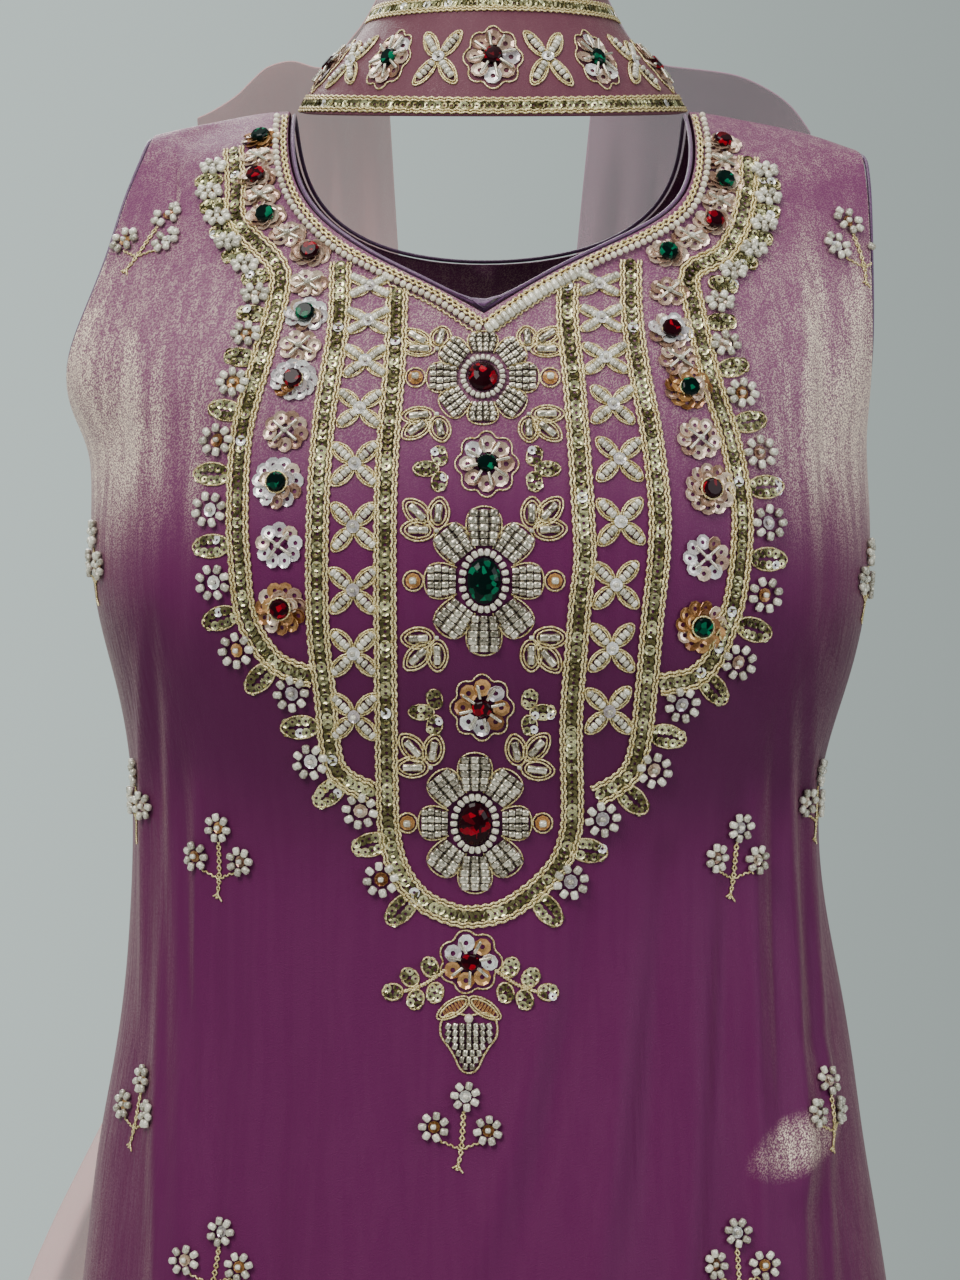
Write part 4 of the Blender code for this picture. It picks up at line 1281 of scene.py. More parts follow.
# ------ motifs
@dataclass(frozen=True)
class PearlFlower:
    """White beads round a sequin."""

    width: float = 0.0152
    petals: int = 8
    bead: float = 0.0036

    def work(self, spot: Spot) -> None:
        """Sew the flower.

        Args:
            spot: Where it lies.
        """
        reach = (self.width - self.bead) / 2
        bead, disc = self.bead, self.width * 0.4
        for a, b in oval(reach, reach, self.petals if spot.tall > SQUASHED else self.petals - 1,
                         spot.chance.random()):
            spot.sew(Trim.BEAD, a, b, (bead, bead * 0.94, bead * 0.86),
                     turn=math.atan2(b, a) + spot.chance.uniform(-0.3, 0.3))
        middle = spot.chance.choice((Trim.COPPER, Trim.ROSE, Trim.SILVER))
        spot.sew(middle, 0.0, 0.0, (disc,) * 3, tilt=0.15)
        spot.sew(Trim.BEAD, 0.0, 0.0, (0.0023,) * 3, lift=0.0008)


@dataclass(frozen=True)
class Leaf:
    """A pointed leaf outlined in cord, its base at the spot and its tip along +a."""

    length: float
    width: float
    cord: float = 0.0008
    fill: Trim = Trim.OLIVE
    double: bool = False

    def outline(self, inset: float) -> list[Place]:
        """The leaf's edge.

        Args:
            inset: Distance inside its outer edge.

        Returns:
            Places round the leaf.
        """
        half = self.length / 2 - inset * 1.3
        wide = self.width / 2 - inset
        places = []
        for k in range(22):
            angle = math.tau * k / 22
            reach = math.cos(angle)
            pinch = 1 - 0.22 * max(0.0, reach) ** 2
            places.append((self.length / 2 + half * reach, wide * math.sin(angle) * pinch))
        return places

    def work(self, spot: Spot) -> None:
        """Sew the leaf.

        Args:
            spot: Where its base lies.
        """
        spot.couch(self.outline(0.0), self.cord, closed=True)
        if self.double:
            spot.couch(self.outline(0.0013), self.cord, closed=True)
        if self.fill is Trim.OLIVE:
            self.fill_sequins(spot)
        else:
            self.fill_beads(spot)

    def fill_sequins(self, spot: Spot) -> None:
        """Cover the leaf with overlapping sequins.

        Args:
            spot: Where it lies.
        """
        size = min(0.0041, self.width * 0.56)
        rows = max(2, round((self.length - size) / (size * 0.6)))
        for k in range(rows):
            a = size * 0.6 + (self.length - size * 1.2) * (k / (rows - 1))
            room = self.width / 2 * math.sqrt(max(0.0, 1 - (2 * a / self.length - 1) ** 2))
            for side in (0.0,) if room < size * 0.62 else (-0.46, 0.46):
                shade = spot.chance.random()
                spot.sew(Trim.SILVER if shade > 0.95 else Trim.OLIVE, a,
                         side * room * 1.15, (size,) * 3, lift=0.0003 + 0.0003 * (k % 2),
                         tilt=0.28, tint=shade ** 1.5)

    def fill_beads(self, spot: Spot) -> None:
        """Lay a row of beads down the leaf.

        Args:
            spot: Where it lies.
        """
        for along in (0.34, 0.62):
            spot.sew(self.fill, self.length * along, 0.0,
                     (self.length * 0.29, self.width * 0.38, 0.0022), tilt=0.1)


@dataclass(frozen=True)
class CrossFlower:
    """Four bead-filled petals on the diagonals."""

    reach: float = 0.0134
    petal: float = 0.0066
    start: float = 0.0013
    cord: float = 0.001
    second_cord: float = 0.0009
    bead: Size = (0.0021, 0.0034, 0.0024)
    first_bead: float = 0.0028
    pitch: float = 0.0023
    disc: Size = (0.0056,) * 3
    centre: Size = (0.0022,) * 3

    def work(self, spot: Spot) -> None:
        """Sew the flower.

        Args:
            spot: Where it lies.
        """
        leaf = Leaf(self.reach - self.start, self.petal)
        for k in range(4):
            way = math.pi / 4 + k * math.pi / 2 + spot.chance.uniform(-0.06, 0.06)
            base = spot.inner(self.start * math.cos(way), self.start * math.sin(way), way)
            for inset in (0.0, self.second_cord):
                base.couch(leaf.outline(inset), self.cord, closed=True)
            for j in range(4):
                base.sew(Trim.BEAD, self.first_bead + self.pitch * j, 0.0, self.bead, tilt=0.15)
        spot.sew(Trim.SILVER, 0.0, 0.0, self.disc, lift=0.0012, tilt=0.2)
        spot.sew(Trim.BEAD, 0.0, 0.0, self.centre, lift=0.002)


@dataclass(frozen=True)
class BugleFlower:
    """A ring of sequins under a cross of bugle beads."""

    sequin: Trim = Trim.SILVER
    width: float = 0.0207
    disc: float = 0.0066
    mixed: float = 0.25
    bugle: Size = (0.006, 0.0015, 0.0015)
    bugle_reach: float = 0.0042
    centre: Size = (0.0026,) * 3

    def work(self, spot: Spot) -> None:
        """Sew the flower.

        Args:
            spot: Where it lies.
        """
        reach = (self.width - self.disc) / 2
        count = 9 if spot.tall > SQUASHED else 7
        for a, b in oval(reach, reach, count, spot.chance.random()):
            sequin = self.sequin if spot.chance.random() > self.mixed else Trim.ROSE
            spot.sew(sequin, a, b, (self.disc,) * 3, turn=math.atan2(b, a), lift=0.0004,
                     lean=0.2, tilt=0.1)
        turn = spot.chance.uniform(0.6, 0.95)
        for k in range(4):
            way = turn + k * math.pi / 2
            spot.sew(Trim.BUGLE, self.bugle_reach * math.cos(way),
                     self.bugle_reach * math.sin(way), self.bugle, turn=way, lift=0.0013,
                     tilt=0.05, tint=0.75)
        spot.sew(Trim.BEAD, 0.0, 0.0, self.centre, lift=0.0016)


@dataclass(frozen=True)
class StoneFlower:
    """Rings of sequins under a round faceted stone in a gold rim."""

    stone: Trim
    sequins: tuple[Trim, Trim]
    width: float = 0.0226
    stone_size: Size = (0.0086, 0.0086, 0.0036)
    stone_lift: float = 0.0022
    disc: float = 0.0067
    mixed: float = 0.28
    cord: float = 0.001

    def work(self, spot: Spot) -> None:
        """Sew the flower.

        Args:
            spot: Where it lies.
        """
        reach = (self.width - self.disc) / 2
        outer = 11 if spot.tall > SQUASHED else 8
        for radius, count, lift in ((reach, outer, 0.0004), (reach * 0.58, 5, 0.0014)):
            for a, b in oval(radius, radius, count, spot.chance.random()):
                spot.sew(self.sequins[spot.chance.random() < self.mixed], a, b,
                         (self.disc,) * 3, turn=math.atan2(b, a), lift=lift, lean=0.2, tilt=0.1)
        rim = self.stone_size[0] / 2 + 0.0003
        spot.couch(oval(rim, rim, 14), self.cord, closed=True, lift=self.stone_lift)
        spot.sew(self.stone, 0.0, 0.0, self.stone_size, lift=self.stone_lift)


@dataclass(frozen=True)
class RayFlower:
    """Sequins and radiating bugles round a small stone, inside a scalloped cord."""

    stone: Trim
    sequin: Trim = Trim.ROSE
    width: float = 0.0268
    height: float = 0.028
    petals: int = 8

    def scallops(self) -> list[Place]:
        """The scalloped edge, one round arc for each petal."""
        steps = self.petals * 7
        places = []
        for k in range(steps):
            angle = math.tau * k / steps
            reach = 0.41 + 0.09 * abs(math.cos(angle * self.petals / 2))
            places.append((self.width * reach * math.cos(angle),
                           self.height * reach * math.sin(angle)))
        return places

    def work(self, spot: Spot) -> None:
        """Sew the flower.

        Args:
            spot: Where it lies.
        """
        spot.couch(self.scallops(), 0.0009, closed=True)
        wide, tall = self.width / 2, self.height / 2
        disc = (wide + tall) * 0.27
        for a, b in oval(wide * 0.6, tall * 0.6, self.petals):
            mixed = self.sequin if spot.chance.random() > 0.2 else Trim.SILVER
            spot.sew(mixed, a, b, (disc,) * 3, turn=math.atan2(b, a), lift=0.0004,
                     lean=0.18, tilt=0.12)
        for a, b in oval(wide * 0.5, tall * 0.5, self.petals, 0.2):
            spot.sew(Trim.BUGLE, a, b, (tall * 0.44, 0.0015, 0.0015),
                     turn=math.atan2(b, a), lift=0.0018, tint=0.6)
        spot.sew(self.stone, 0.0, 0.0, (wide * 0.66, tall * 0.54, 0.0036), lift=0.0012)


@dataclass(frozen=True)
class Rosette:
    """A big flower: eight petals paved with bead rows round an oval or round stone."""

    width: float
    height: float
    stone: Trim
    stone_width: float
    stone_height: float
    rows: int = 5

    def work(self, spot: Spot) -> None:
        """Sew the flower.

        Args:
            spot: Where it lies.
        """
        ring_a, ring_b = self.stone_width / 2 + 0.0021, self.stone_height / 2 + 0.0021
        count, bead = (22, 0.0025) if self.stone_height > self.stone_width else (24, 0.002)
        for a, b in oval(ring_a, ring_b, count):
            way = math.atan2(b / ring_b ** 2, a / ring_a ** 2)
            spot.sew(Trim.BEAD, a, b, (bead * 1.2, bead, bead), turn=way, lift=0.0006,
                     tint=0.6)
        spot.sew(self.stone, 0.0, 0.0, (self.stone_width, self.stone_height, 0.0046),
                 lift=0.0004)
        for k in range(8):
            self.petal(spot, k * math.pi / 4, 3 if self.rows > 4 and k % 4 else 4)

    def petal(self, spot: Spot, angle: float, columns: int) -> None:
        """Pave one petal with columns of cut beads inside its cord.

        Args:
            spot: The flower's spot.
            angle: The petal's direction.
            columns: Beads side by side.
        """
        base_a = (self.stone_width / 2 + 0.0043) * math.cos(angle)
        base_b = (self.stone_height / 2 + 0.0043) * math.sin(angle)
        tip_a, tip_b = self.width / 2 * math.cos(angle), self.height / 2 * math.sin(angle)
        way = math.atan2(tip_b - base_b, tip_a - base_a)
        length = math.hypot(tip_a - base_a, tip_b - base_b)
        root = spot.inner(base_a, base_b, way)
        size = (self.width + self.height) / 2
        narrow, broad = 0.0013 + size * 0.076, 0.0034 + size * 0.072
        edge = [(0.0, -narrow), (length * 0.3, -narrow * 1.28), (length * 0.62, -broad),
                (length * 0.86, -broad * 0.84), (length * 0.99, -broad * 0.46),
                (length * 1.03, 0.0)]
        edge += [(a, -b) for a, b in reversed(edge[:-1])]
        root.couch(Line(tuple(edge), 0.0009).beside(0.0), 0.0009)
        rows = self.rows - (self.rows > 4 and columns == 4)
        pitch = (length - 0.0012) / rows
        for j in range(rows):
            along = (j + 0.5) / rows
            room = narrow + (broad - narrow) * min(1.0, along * 1.5) - 0.0003
            room *= 0.88 if j == rows - 1 else 1.0
            step = 2 * room / columns
            for column in range(columns):
                b = (column - (columns - 1) / 2) * step
                root.sew(Trim.BUGLE, 0.0003 + pitch * (j + 0.5), b,
                         (pitch * 0.92, step * 1.02, 0.0021), tilt=0.06)


@dataclass(frozen=True)
class LeafTrio:
    """Three bead leaves from one point, spread towards a corner."""

    lengths: tuple[float, ...] = (0.0134, 0.0146, 0.0142)
    angles: tuple[float, ...] = (86.0, 134.0, 182.0)
    starts: tuple[float, ...] = (0.0008, 0.004, 0.0008)

    def work(self, spot: Spot, side: int, up: int) -> None:
        """Sew the three leaves.

        Args:
            spot: The point they spring from.
            side: -1 where they lean left, 1 right.
            up: 1 where they rise, -1 where they hang.
        """
        for length, angle, start in zip(self.lengths, self.angles, self.starts):
            way = math.radians(angle + spot.chance.uniform(-7.0, 7.0))
            across, rise = -side * math.cos(way), up * math.sin(way)
            leaf = Leaf(length, 0.009, cord=0.001, fill=Trim.BUGLE, double=True)
            leaf.work(spot.inner(start * across, start * rise, math.atan2(rise, across)))
        spot.sew(Trim.BEAD, 0.0, 0.0, (0.0018,) * 3)


@dataclass(frozen=True)
class Sprig:
    """Three bead flowers on a twisted stem."""

    height: float = 0.037
    flower: PearlFlower = PearlFlower(0.0128, 7, 0.0034)

    def work(self, spot: Spot) -> None:
        """Sew the sprig, its base at the spot's lower end."""
        half = self.height / 2
        heads = ((0.0012, half - 0.0062), (-0.0118, half - 0.019), (0.011, half - 0.0205))
        fork = (-0.0004, -half + 0.0085)
        for a, b in heads:
            self.flower.work(spot.inner(a, b))
        for side in (-1, 1):
            stem = ((-0.0022, -half), (fork[0] + side * 0.0004, fork[1]),
                    (0.0004 + side * 0.0005, half - 0.0125))
            line = Line(stem, 0.0007)
            spot.couch(line.beside(0.0, 0.0005, 0.003, side * math.pi / 2), 0.001)
        for (a, b), side in zip(heads[1:], (-1, 1)):
            line = Line((fork, (a * 0.55, fork[1] + 0.0026), (a * 0.82, b - 0.0056)), 0.0007)
            spot.couch(line.beside(0.0, 0.0004, 0.0026), 0.001)
        for a, b in ((-0.004, -half + 0.001), (0.0004, -half - 0.0012), (-0.0006, -half)):
            spot.couch([(a, b), (-0.0016, -half + 0.002)], 0.001)


@dataclass(frozen=True)
class SequinBand:
    """Overlapping sequins between two pairs of wavy cords."""

    half_width: float = 0.0043
    sequin: float = 0.0046
    pitch: float = 0.0028
    cord: float = 0.0014

    def work(self, spot: Spot, line: Line) -> None:
        """Sew the band.

        Args:
            spot: Origin of the line's places.
            line: Its middle.
        """
        for side in (-1, 1):
            for offset in (self.half_width, self.half_width - self.cord):
                spot.couch(line.beside(side * offset, 0.0003, 0.004), self.cord)
        distance = self.pitch / 2
        while distance < line.length:
            a, b = line.at(distance)
            bright = spot.chance.random()
            trim = Trim.SILVER if bright > 0.97 else Trim.OLIVE
            spot.sew(trim, a, b, (self.sequin,) * 3, turn=line.direction(distance),
                     lift=0.0003, tilt=0.16, tint=bright ** 2.0)
            distance += self.pitch * spot.chance.uniform(0.85, 1.15)


# ------ the kameez
@dataclass
class Kameez:
    """Front and back panels with the creases of worn tissue."""

    front_creases: Creases = (
        (-0.1385, -0.018, -0.1365, -0.064, 0.0018, -0.0016),
        (-0.15, -0.08, -0.1505, -0.195, 0.0045, 0.0012),
        (-0.128, -0.095, -0.135, -0.255, 0.006, -0.0012, 0.003),
        (0.136, -0.045, 0.141, -0.185, 0.005, 0.0012),
        (0.15, -0.065, 0.148, -0.245, 0.0045, -0.0013),
        (-0.15, -0.235, -0.151, -0.42, 0.003, 0.0023),
        (-0.1445, -0.222, -0.14, -0.475, 0.0028, -0.0021, 0.002),
        (-0.137, -0.262, -0.142, -0.56, 0.0034, 0.0024, -0.002),
        (-0.131, -0.285, -0.124, -0.505, 0.003, -0.0019),
        (-0.1245, -0.3, -0.129, -0.44, 0.0026, 0.0015, 0.001),
        (-0.117, -0.345, -0.114, -0.54, 0.0042, -0.0019),
        (-0.098, -0.345, -0.102, -0.47, 0.006, 0.0018, 0.003),
        (-0.082, -0.4, -0.09, -0.59, 0.0065, -0.0024, -0.003),
        (-0.058, -0.365, -0.066, -0.5, 0.006, 0.0019),
        (-0.03, -0.41, -0.044, -0.64, 0.007, -0.0024, 0.004),
        (0.028, -0.38, -0.012, -0.53, 0.0065, 0.0032, 0.003),
        (0.046, -0.35, 0.012, -0.515, 0.006, -0.0027, 0.002),
        (0.061, -0.368, 0.034, -0.58, 0.0075, 0.0033, 0.004),
        (0.078, -0.325, 0.066, -0.505, 0.0058, -0.0024),
        (0.093, -0.356, 0.076, -0.62, 0.007, 0.003, 0.003),
        (0.107, -0.3, 0.1, -0.455, 0.0045, -0.0018),
        (0.117, -0.3, 0.121, -0.52, 0.0036, 0.0019, -0.002),
        (0.125, -0.268, 0.129, -0.462, 0.0028, -0.0021),
        (0.131, -0.252, 0.138, -0.54, 0.003, 0.0023, 0.002),
        (0.138, -0.262, 0.146, -0.45, 0.0027, -0.0019), (0.143, -0.238, 0.153, -0.58, 0.003, 0.0021),
        (0.146, -0.415, 0.136, -0.485, 0.009, 0.0039, 0.004),
        (-0.15, -0.56, -0.166, -0.96, 0.009, 0.0045),
        (-0.11, -0.6, -0.118, -0.99, 0.01, -0.0053, 0.004),
        (-0.018, -0.56, -0.03, -0.98, 0.011, 0.0051, -0.004),
        (0.06, -0.6, 0.072, -0.99, 0.01, 0.0048), (0.122, -0.58, 0.14, -0.97, 0.0095, -0.0045, 0.003))
    back_creases: Creases = (
        (-0.12, -0.13, -0.128, -0.29, 0.006, 0.0014),
        (-0.06, -0.2, -0.08, -0.35, 0.0075, -0.0016, 0.004),
        (0.055, -0.19, 0.072, -0.345, 0.0075, 0.0016, -0.003),
        (0.118, -0.15, 0.126, -0.3, 0.0055, -0.0013), (-0.14, -0.25, -0.146, -0.52, 0.004, 0.0016),
        (-0.112, -0.33, -0.118, -0.6, 0.0065, -0.002),
        (-0.046, -0.36, -0.058, -0.68, 0.008, 0.0024, 0.004),
        (0.004, -0.4, 0.0, -0.76, 0.009, -0.0026),
        (0.062, -0.37, 0.07, -0.64, 0.008, 0.0022, -0.003),
        (0.108, -0.32, 0.12, -0.58, 0.006, -0.0018), (0.14, -0.25, 0.15, -0.5, 0.004, 0.0015),
        (-0.13, -0.6, -0.146, -0.99, 0.01, 0.0034), (-0.03, -0.64, -0.034, -0.99, 0.011, -0.0034),
        (0.048, -0.62, 0.056, -0.99, 0.01, 0.0032), (0.128, -0.6, 0.148, -0.98, 0.0095, -0.003))

    def build(self) -> tuple[bpy.types.Object, bpy.types.Object]:
        """Make both panels.

        Returns:
            Front and back.
        """
        front = Cloth("kameez_front", PLUM_TISSUE, (0.0, 0.0), (0.5, 1.03), "hung", 0.46,
                      ("neck_binding",), self.front_creases, levels=3, pointed=True).build()
        back = Cloth("kameez_back", PLUM_TISSUE, (0.0, 0.0), (0.5, 1.03), "hung", 0.46,
                     ("kameez_front_cloth",), self.back_creases).build()
        return front, back


@dataclass
class Bindings:
    """Rolled satin edges of the neck and the armholes."""

    nodes: tuple[str, ...] = ("neck_binding", "armhole_binding_left", "armhole_binding_right")
    swell: float = 0.0003

    def build(self) -> None:
        """Make each edge a round roll on its solid's form."""
        for node in self.nodes:
            roll = quads(node, 40)
            for vert in roll.verts:
                vert.co += vert.normal * self.swell
            sharpen(roll)
            piece = smoothed(f"{node}_roll", roll, 2)
            dress(piece, PIPING)
            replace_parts(piece, node)
            log.info("%s: rolled", piece.name)


# ------ the yoke
GOLD_LINES = {
    "gold_band_outer_left": (
        (-0.1115, -0.021), (-0.109, -0.04), (-0.107, -0.058), (-0.0895, -0.078), (-0.088, -0.092),
        (-0.0945, -0.12), (-0.1025, -0.152), (-0.104, -0.187), (-0.103, -0.206), (-0.101, -0.226),
        (-0.0965, -0.238), (-0.088, -0.249), (-0.0775, -0.254), (-0.0722, -0.2552)),
    "gold_band_outer_right": (
        (0.117, -0.026), (0.116, -0.04), (0.111, -0.06), (0.103, -0.073), (0.089, -0.082),
        (0.09, -0.098), (0.097, -0.131), (0.104, -0.154), (0.1085, -0.178), (0.109, -0.197),
        (0.106, -0.222), (0.101, -0.238), (0.096, -0.249), (0.088, -0.256), (0.079, -0.258),
        (0.0738, -0.2588)),
    "gold_band_second_left": (
        (-0.0615, -0.078), (-0.062, -0.108), (-0.067, -0.144), (-0.0695, -0.186), (-0.0695, -0.234),
        (-0.0665, -0.264), (-0.064, -0.29), (-0.058, -0.299), (-0.0475, -0.304)),
    "gold_band_second_right": (
        (0.063, -0.077), (0.063, -0.102), (0.066, -0.128), (0.0705, -0.154), (0.0735, -0.184),
        (0.073, -0.206), (0.0705, -0.23), (0.0685, -0.256), (0.0655, -0.285), (0.06, -0.298),
        (0.047, -0.306)),
    "gold_band_inner": (
        (-0.037, -0.09), (-0.0378, -0.123), (-0.04, -0.154), (-0.0412, -0.186), (-0.0412, -0.242),
        (-0.0408, -0.3), (-0.04, -0.321), (-0.036, -0.337), (-0.0267, -0.3495), (-0.0135, -0.356),
        (-0.004, -0.357), (0.0082, -0.3545), (0.0208, -0.3465), (0.0315, -0.335), (0.0365, -0.3215),
        (0.0372, -0.308), (0.0365, -0.276), (0.038, -0.25), (0.04, -0.225), (0.042, -0.207),
        (0.0415, -0.19), (0.0398, -0.16), (0.0378, -0.13), (0.0355, -0.104), (0.0358, -0.088)),
}


@dataclass
class GoldBands:
    """The five gold bands that frame the yoke's columns."""

    band: SequinBand = SequinBand()

    def build(self, ground: Ground) -> None:
        """Sew each band as a piece of its own.

        Args:
            ground: The front of the kameez.
        """
        for node, stations in GOLD_LINES.items():
            needle = Needlework(node, ground)
            self.band.work(Spot(needle, 0.0, 0.0), Line(stations))
            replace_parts(needle.finish()["gold"], node)


@dataclass
class CentreColumn:
    """The three rosettes, the two ray flowers between them, their leaves and the finial."""

    rosettes: tuple[Rosette, ...] = (
        Rosette(0.0468, 0.04, Trim.BIG_RUBY, 0.0125, 0.0125, rows=4),
        Rosette(0.049, 0.061, Trim.BIG_EMERALD, 0.014, 0.0195),
        Rosette(0.047, 0.059, Trim.BIG_RUBY, 0.0135, 0.0185),
    )
    trio: LeafTrio = LeafTrio()
    junctions: tuple[tuple[float, float, float], ...] = (
        (0.0193, 0.0123, 0.016), (0.0197, 0.0208, 0.0236), (0.0186, 0.0238, 0.0))

    def build(self, ground: Ground) -> None:
        """Sew the column.

        Args:
            ground: The front of the kameez.
        """
        needle = Needlework("centre_column", ground)
        nodes = []
        for number, rosette in enumerate(self.rosettes, start=1):
            node = f"centre_flower_{number}"
            x, z = middle_of(node)
            rosette.work(Spot(needle, x, z))
            self.leaves(needle, x, z, self.junctions[number - 1])
            self.dots(Spot(needle, x, z), rosette.width / 2 + 0.005)
            nodes.append(node)
        for x, z, stone, sequin in ((0.0012, -0.1665, Trim.EMERALD, Trim.ROSE),
                                    (-0.0008, -0.2682, Trim.RUBY, Trim.COPPER)):
            spot = Spot(needle, x, z)
            RayFlower(stone, sequin).work(spot)
            for side in (-1, 1):
                self.trefoil(spot.inner(side * 0.0187, -0.002), side)
        self.finial(Spot(needle, -0.0058, -0.3762))
        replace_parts(needle.finish()["beads"], *nodes)

    def leaves(self, needle: Needlework, x: float, z: float,
               reach: tuple[float, float, float]) -> None:
        """Sew a trio at each free corner of a rosette.

        Args:
            needle: The column's work.
            x: The rosette's middle, across.
            z: The rosette's middle, up.
            reach: How far the trios' points are from it: across, above and below.
        """
        across, above, below = reach
        for up, rise in ((1, above), (-1, below)):
            for side in (-1, 1) if rise else ():
                place = z + up * rise
                spot = Spot(needle, x + side * across, place, tall=max(0.72, squeeze(place)))
                self.trio.work(spot, side, up)

    @staticmethod
    def dots(spot: Spot, reach: float) -> None:
        """Sew a corded sequin on each side of a rosette.

        Args:
            spot: The rosette's middle.
            reach: How far out they are.
        """
        for side in (-1, 1):
            place = spot.inner(side * reach, 0.0)
            place.couch(oval(0.0042, 0.0042, 14), 0.001, closed=True)
            place.sew(Trim.COPPER, 0.0, 0.0, (0.0064,) * 3, tilt=0.1, tint=0.9)
            place.sew(Trim.BEAD, 0.0, 0.0, (0.003,) * 3, lift=0.0008)

    @staticmethod
    def trefoil(spot: Spot, side: int) -> None:
        """Sew three short sequin leaves that spread away from the ray flower.

        Args:
            spot: The point they spring from.
            side: -1 on the flower's left, 1 on its right.
        """
        for angle in (-78, 0, 78):
            way = math.radians(angle) + (math.pi if side < 0 else 0.0)
            leaf = Leaf(0.0084 if angle else 0.0108, 0.0064)
            leaf.work(spot.inner(0.0014 * math.cos(way), 0.0014 * math.sin(way), way))

    def finial(self, spot: Spot) -> None:
        """Sew the flower, sprays and hanging drop below the yoke.

        Args:
            spot: Where it lies.
        """
        RayFlower(Trim.RUBY, Trim.COPPER, 0.0272, 0.0272, 7).work(spot)
        for side in (-1, 1):
            line = Line(((side * 0.0105, -0.0035), (side * 0.02, -0.0098),
                         (side * 0.03, -0.0132)), 0.0007)
            for phase in (0.0, math.pi):
                spot.couch(line.beside(0.0, 0.0005, 0.0028, phase), 0.001)
            for a, b, lean in ((0.0155, -0.0062, 68), (0.023, -0.01, 52),
                               (0.0286, -0.0126, -4), (0.014, -0.009, -78),
                               (0.0218, -0.012, -72)):
                way = math.radians(lean if side > 0 else 180 - lean)
                leaf = Leaf(0.0085, 0.0068, cord=0.0011)
                leaf.work(spot.inner(side * a, b, way))
        self.drop(spot.inner(-0.0006, -0.015))

    @staticmethod
    def drop(spot: Spot) -> None:
        """Sew the drop: two cap leaves of copper bugles over a bead-filled body.

        Args:
            spot: Where it lies.
        """
        for side in (-1, 1):
            way = -math.pi / 2 + side * math.radians(58)
            inner = spot.inner(0.0, -0.0004, way)
            for inset in (0.0, 0.0011):
                inner.couch(Leaf(0.0158, 0.0068).outline(inset), 0.001, closed=True)
            for k in range(7):
                inner.sew(Trim.COPPER, 0.003 + 0.0015 * k, 0.0, (0.0012, 0.0036, 0.003),
                          tilt=0.1, tint=0.7)
        half = ((0.0, -0.008), (0.0072, -0.0066), (0.0114, -0.0098), (0.0118, -0.016),
                (0.0086, -0.0208), (0.006, -0.025), (0.0036, -0.03), (0.0, -0.0318))
        line = Line(half + tuple((-a, b) for a, b in half[-2::-1]), 0.0009)
        spot.couch(line.beside(0.0), 0.0011)
        spot.sew(Trim.PEARL, 0.0, -0.0088, (0.0042,) * 3)
        heights, widths = zip(*((-b, a) for a, b in half[2:]))
        for row in range(7):
            b = 0.0122 + row * 0.0028
            wide = float(np.interp(b, heights, widths)) - 0.0008
            count = max(1, round(wide * 2 / 0.003))
            for k in range(count):
                a = (k - (count - 1) / 2) * 0.0029
                spot.sew(Trim.BUGLE, a, -b, (0.0027, 0.0025, 0.0021),
                         turn=math.pi / 2 + a * 50)


@dataclass
class CrossColumns:
    """Columns of cross flowers between the inner and the second bands."""

    left: tuple[Place, ...] = ((-0.0487, -0.089), (-0.05, -0.119), (-0.0533, -0.155),
                               (-0.0545, -0.19), (-0.0543, -0.287))
    right: tuple[Place, ...] = ((0.0492, -0.088), (0.0512, -0.119), (0.056, -0.155),
                                (0.057, -0.19), (0.054, -0.23), (0.0518, -0.287))
    pitch: float = 0.0264
    flower: CrossFlower = CrossFlower()

    def build(self, ground: Ground) -> None:
        """Sew both columns.

        Args:
            ground: The front of the kameez.
        """
        needle = Needlework("cross_columns", ground)
        for stations in (self.left, self.right):
            for x, z, _ in walk(stations, self.pitch):
                tall = squeeze(z)
                self.flower.work(Spot(needle, x, z, tall=tall, wide=0.86 + 0.14 * tall))
        needle.finish()


@dataclass
class StoneColumns:
    """Stone flowers on the stones' nodes, and bugle flowers between them."""

    left: range = range(1, 9)
    right: range = range(9, 17)
    emeralds: frozenset[int] = frozenset({1, 3, 5, 7, 10, 12, 14, 16})
    white: frozenset[int] = frozenset({5, 6, 7, 13})
    amber: frozenset[int] = frozenset({1, 6, 8, 14, 16})

    def build(self, ground: Ground) -> None:
        """Sew both columns.

        Args:
            ground: The front of the kameez.
        """
        needle = Needlework("stone_columns", ground)
        for column in (self.left, self.right):
            places = [middle_of(f"stone_{number:02d}") for number in column]
            for (x, z), (next_x, next_z) in zip(places, places[1:]):
                spot = eased(needle, (x + next_x) / 2, (z + next_z) / 2)
                sequin = Trim.SILVER if spot.tall > 0.9 else Trim.ROSE
                spot.tall *= 0.95
                BugleFlower(sequin).work(spot)
            for number, (x, z) in zip(column, places):
                stone = Trim.EMERALD if number in self.emeralds else Trim.RUBY
                sequins = (Trim.SILVER if number in self.white else Trim.ROSE,
                           Trim.COPPER if number in self.amber else Trim.ROSE)
                if number in self.amber - self.white:
                    sequins = sequins[::-1]
                StoneFlower(stone, sequins).work(eased(needle, x, z))
        pieces = needle.finish()
        rubies = [f"stone_{n:02d}" for n in (*self.left, *self.right) if n not in self.emeralds]
        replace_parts(pieces["ruby"], *rubies)
        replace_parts(pieces["emerald"], *(f"stone_{n:02d}" for n in sorted(self.emeralds)))


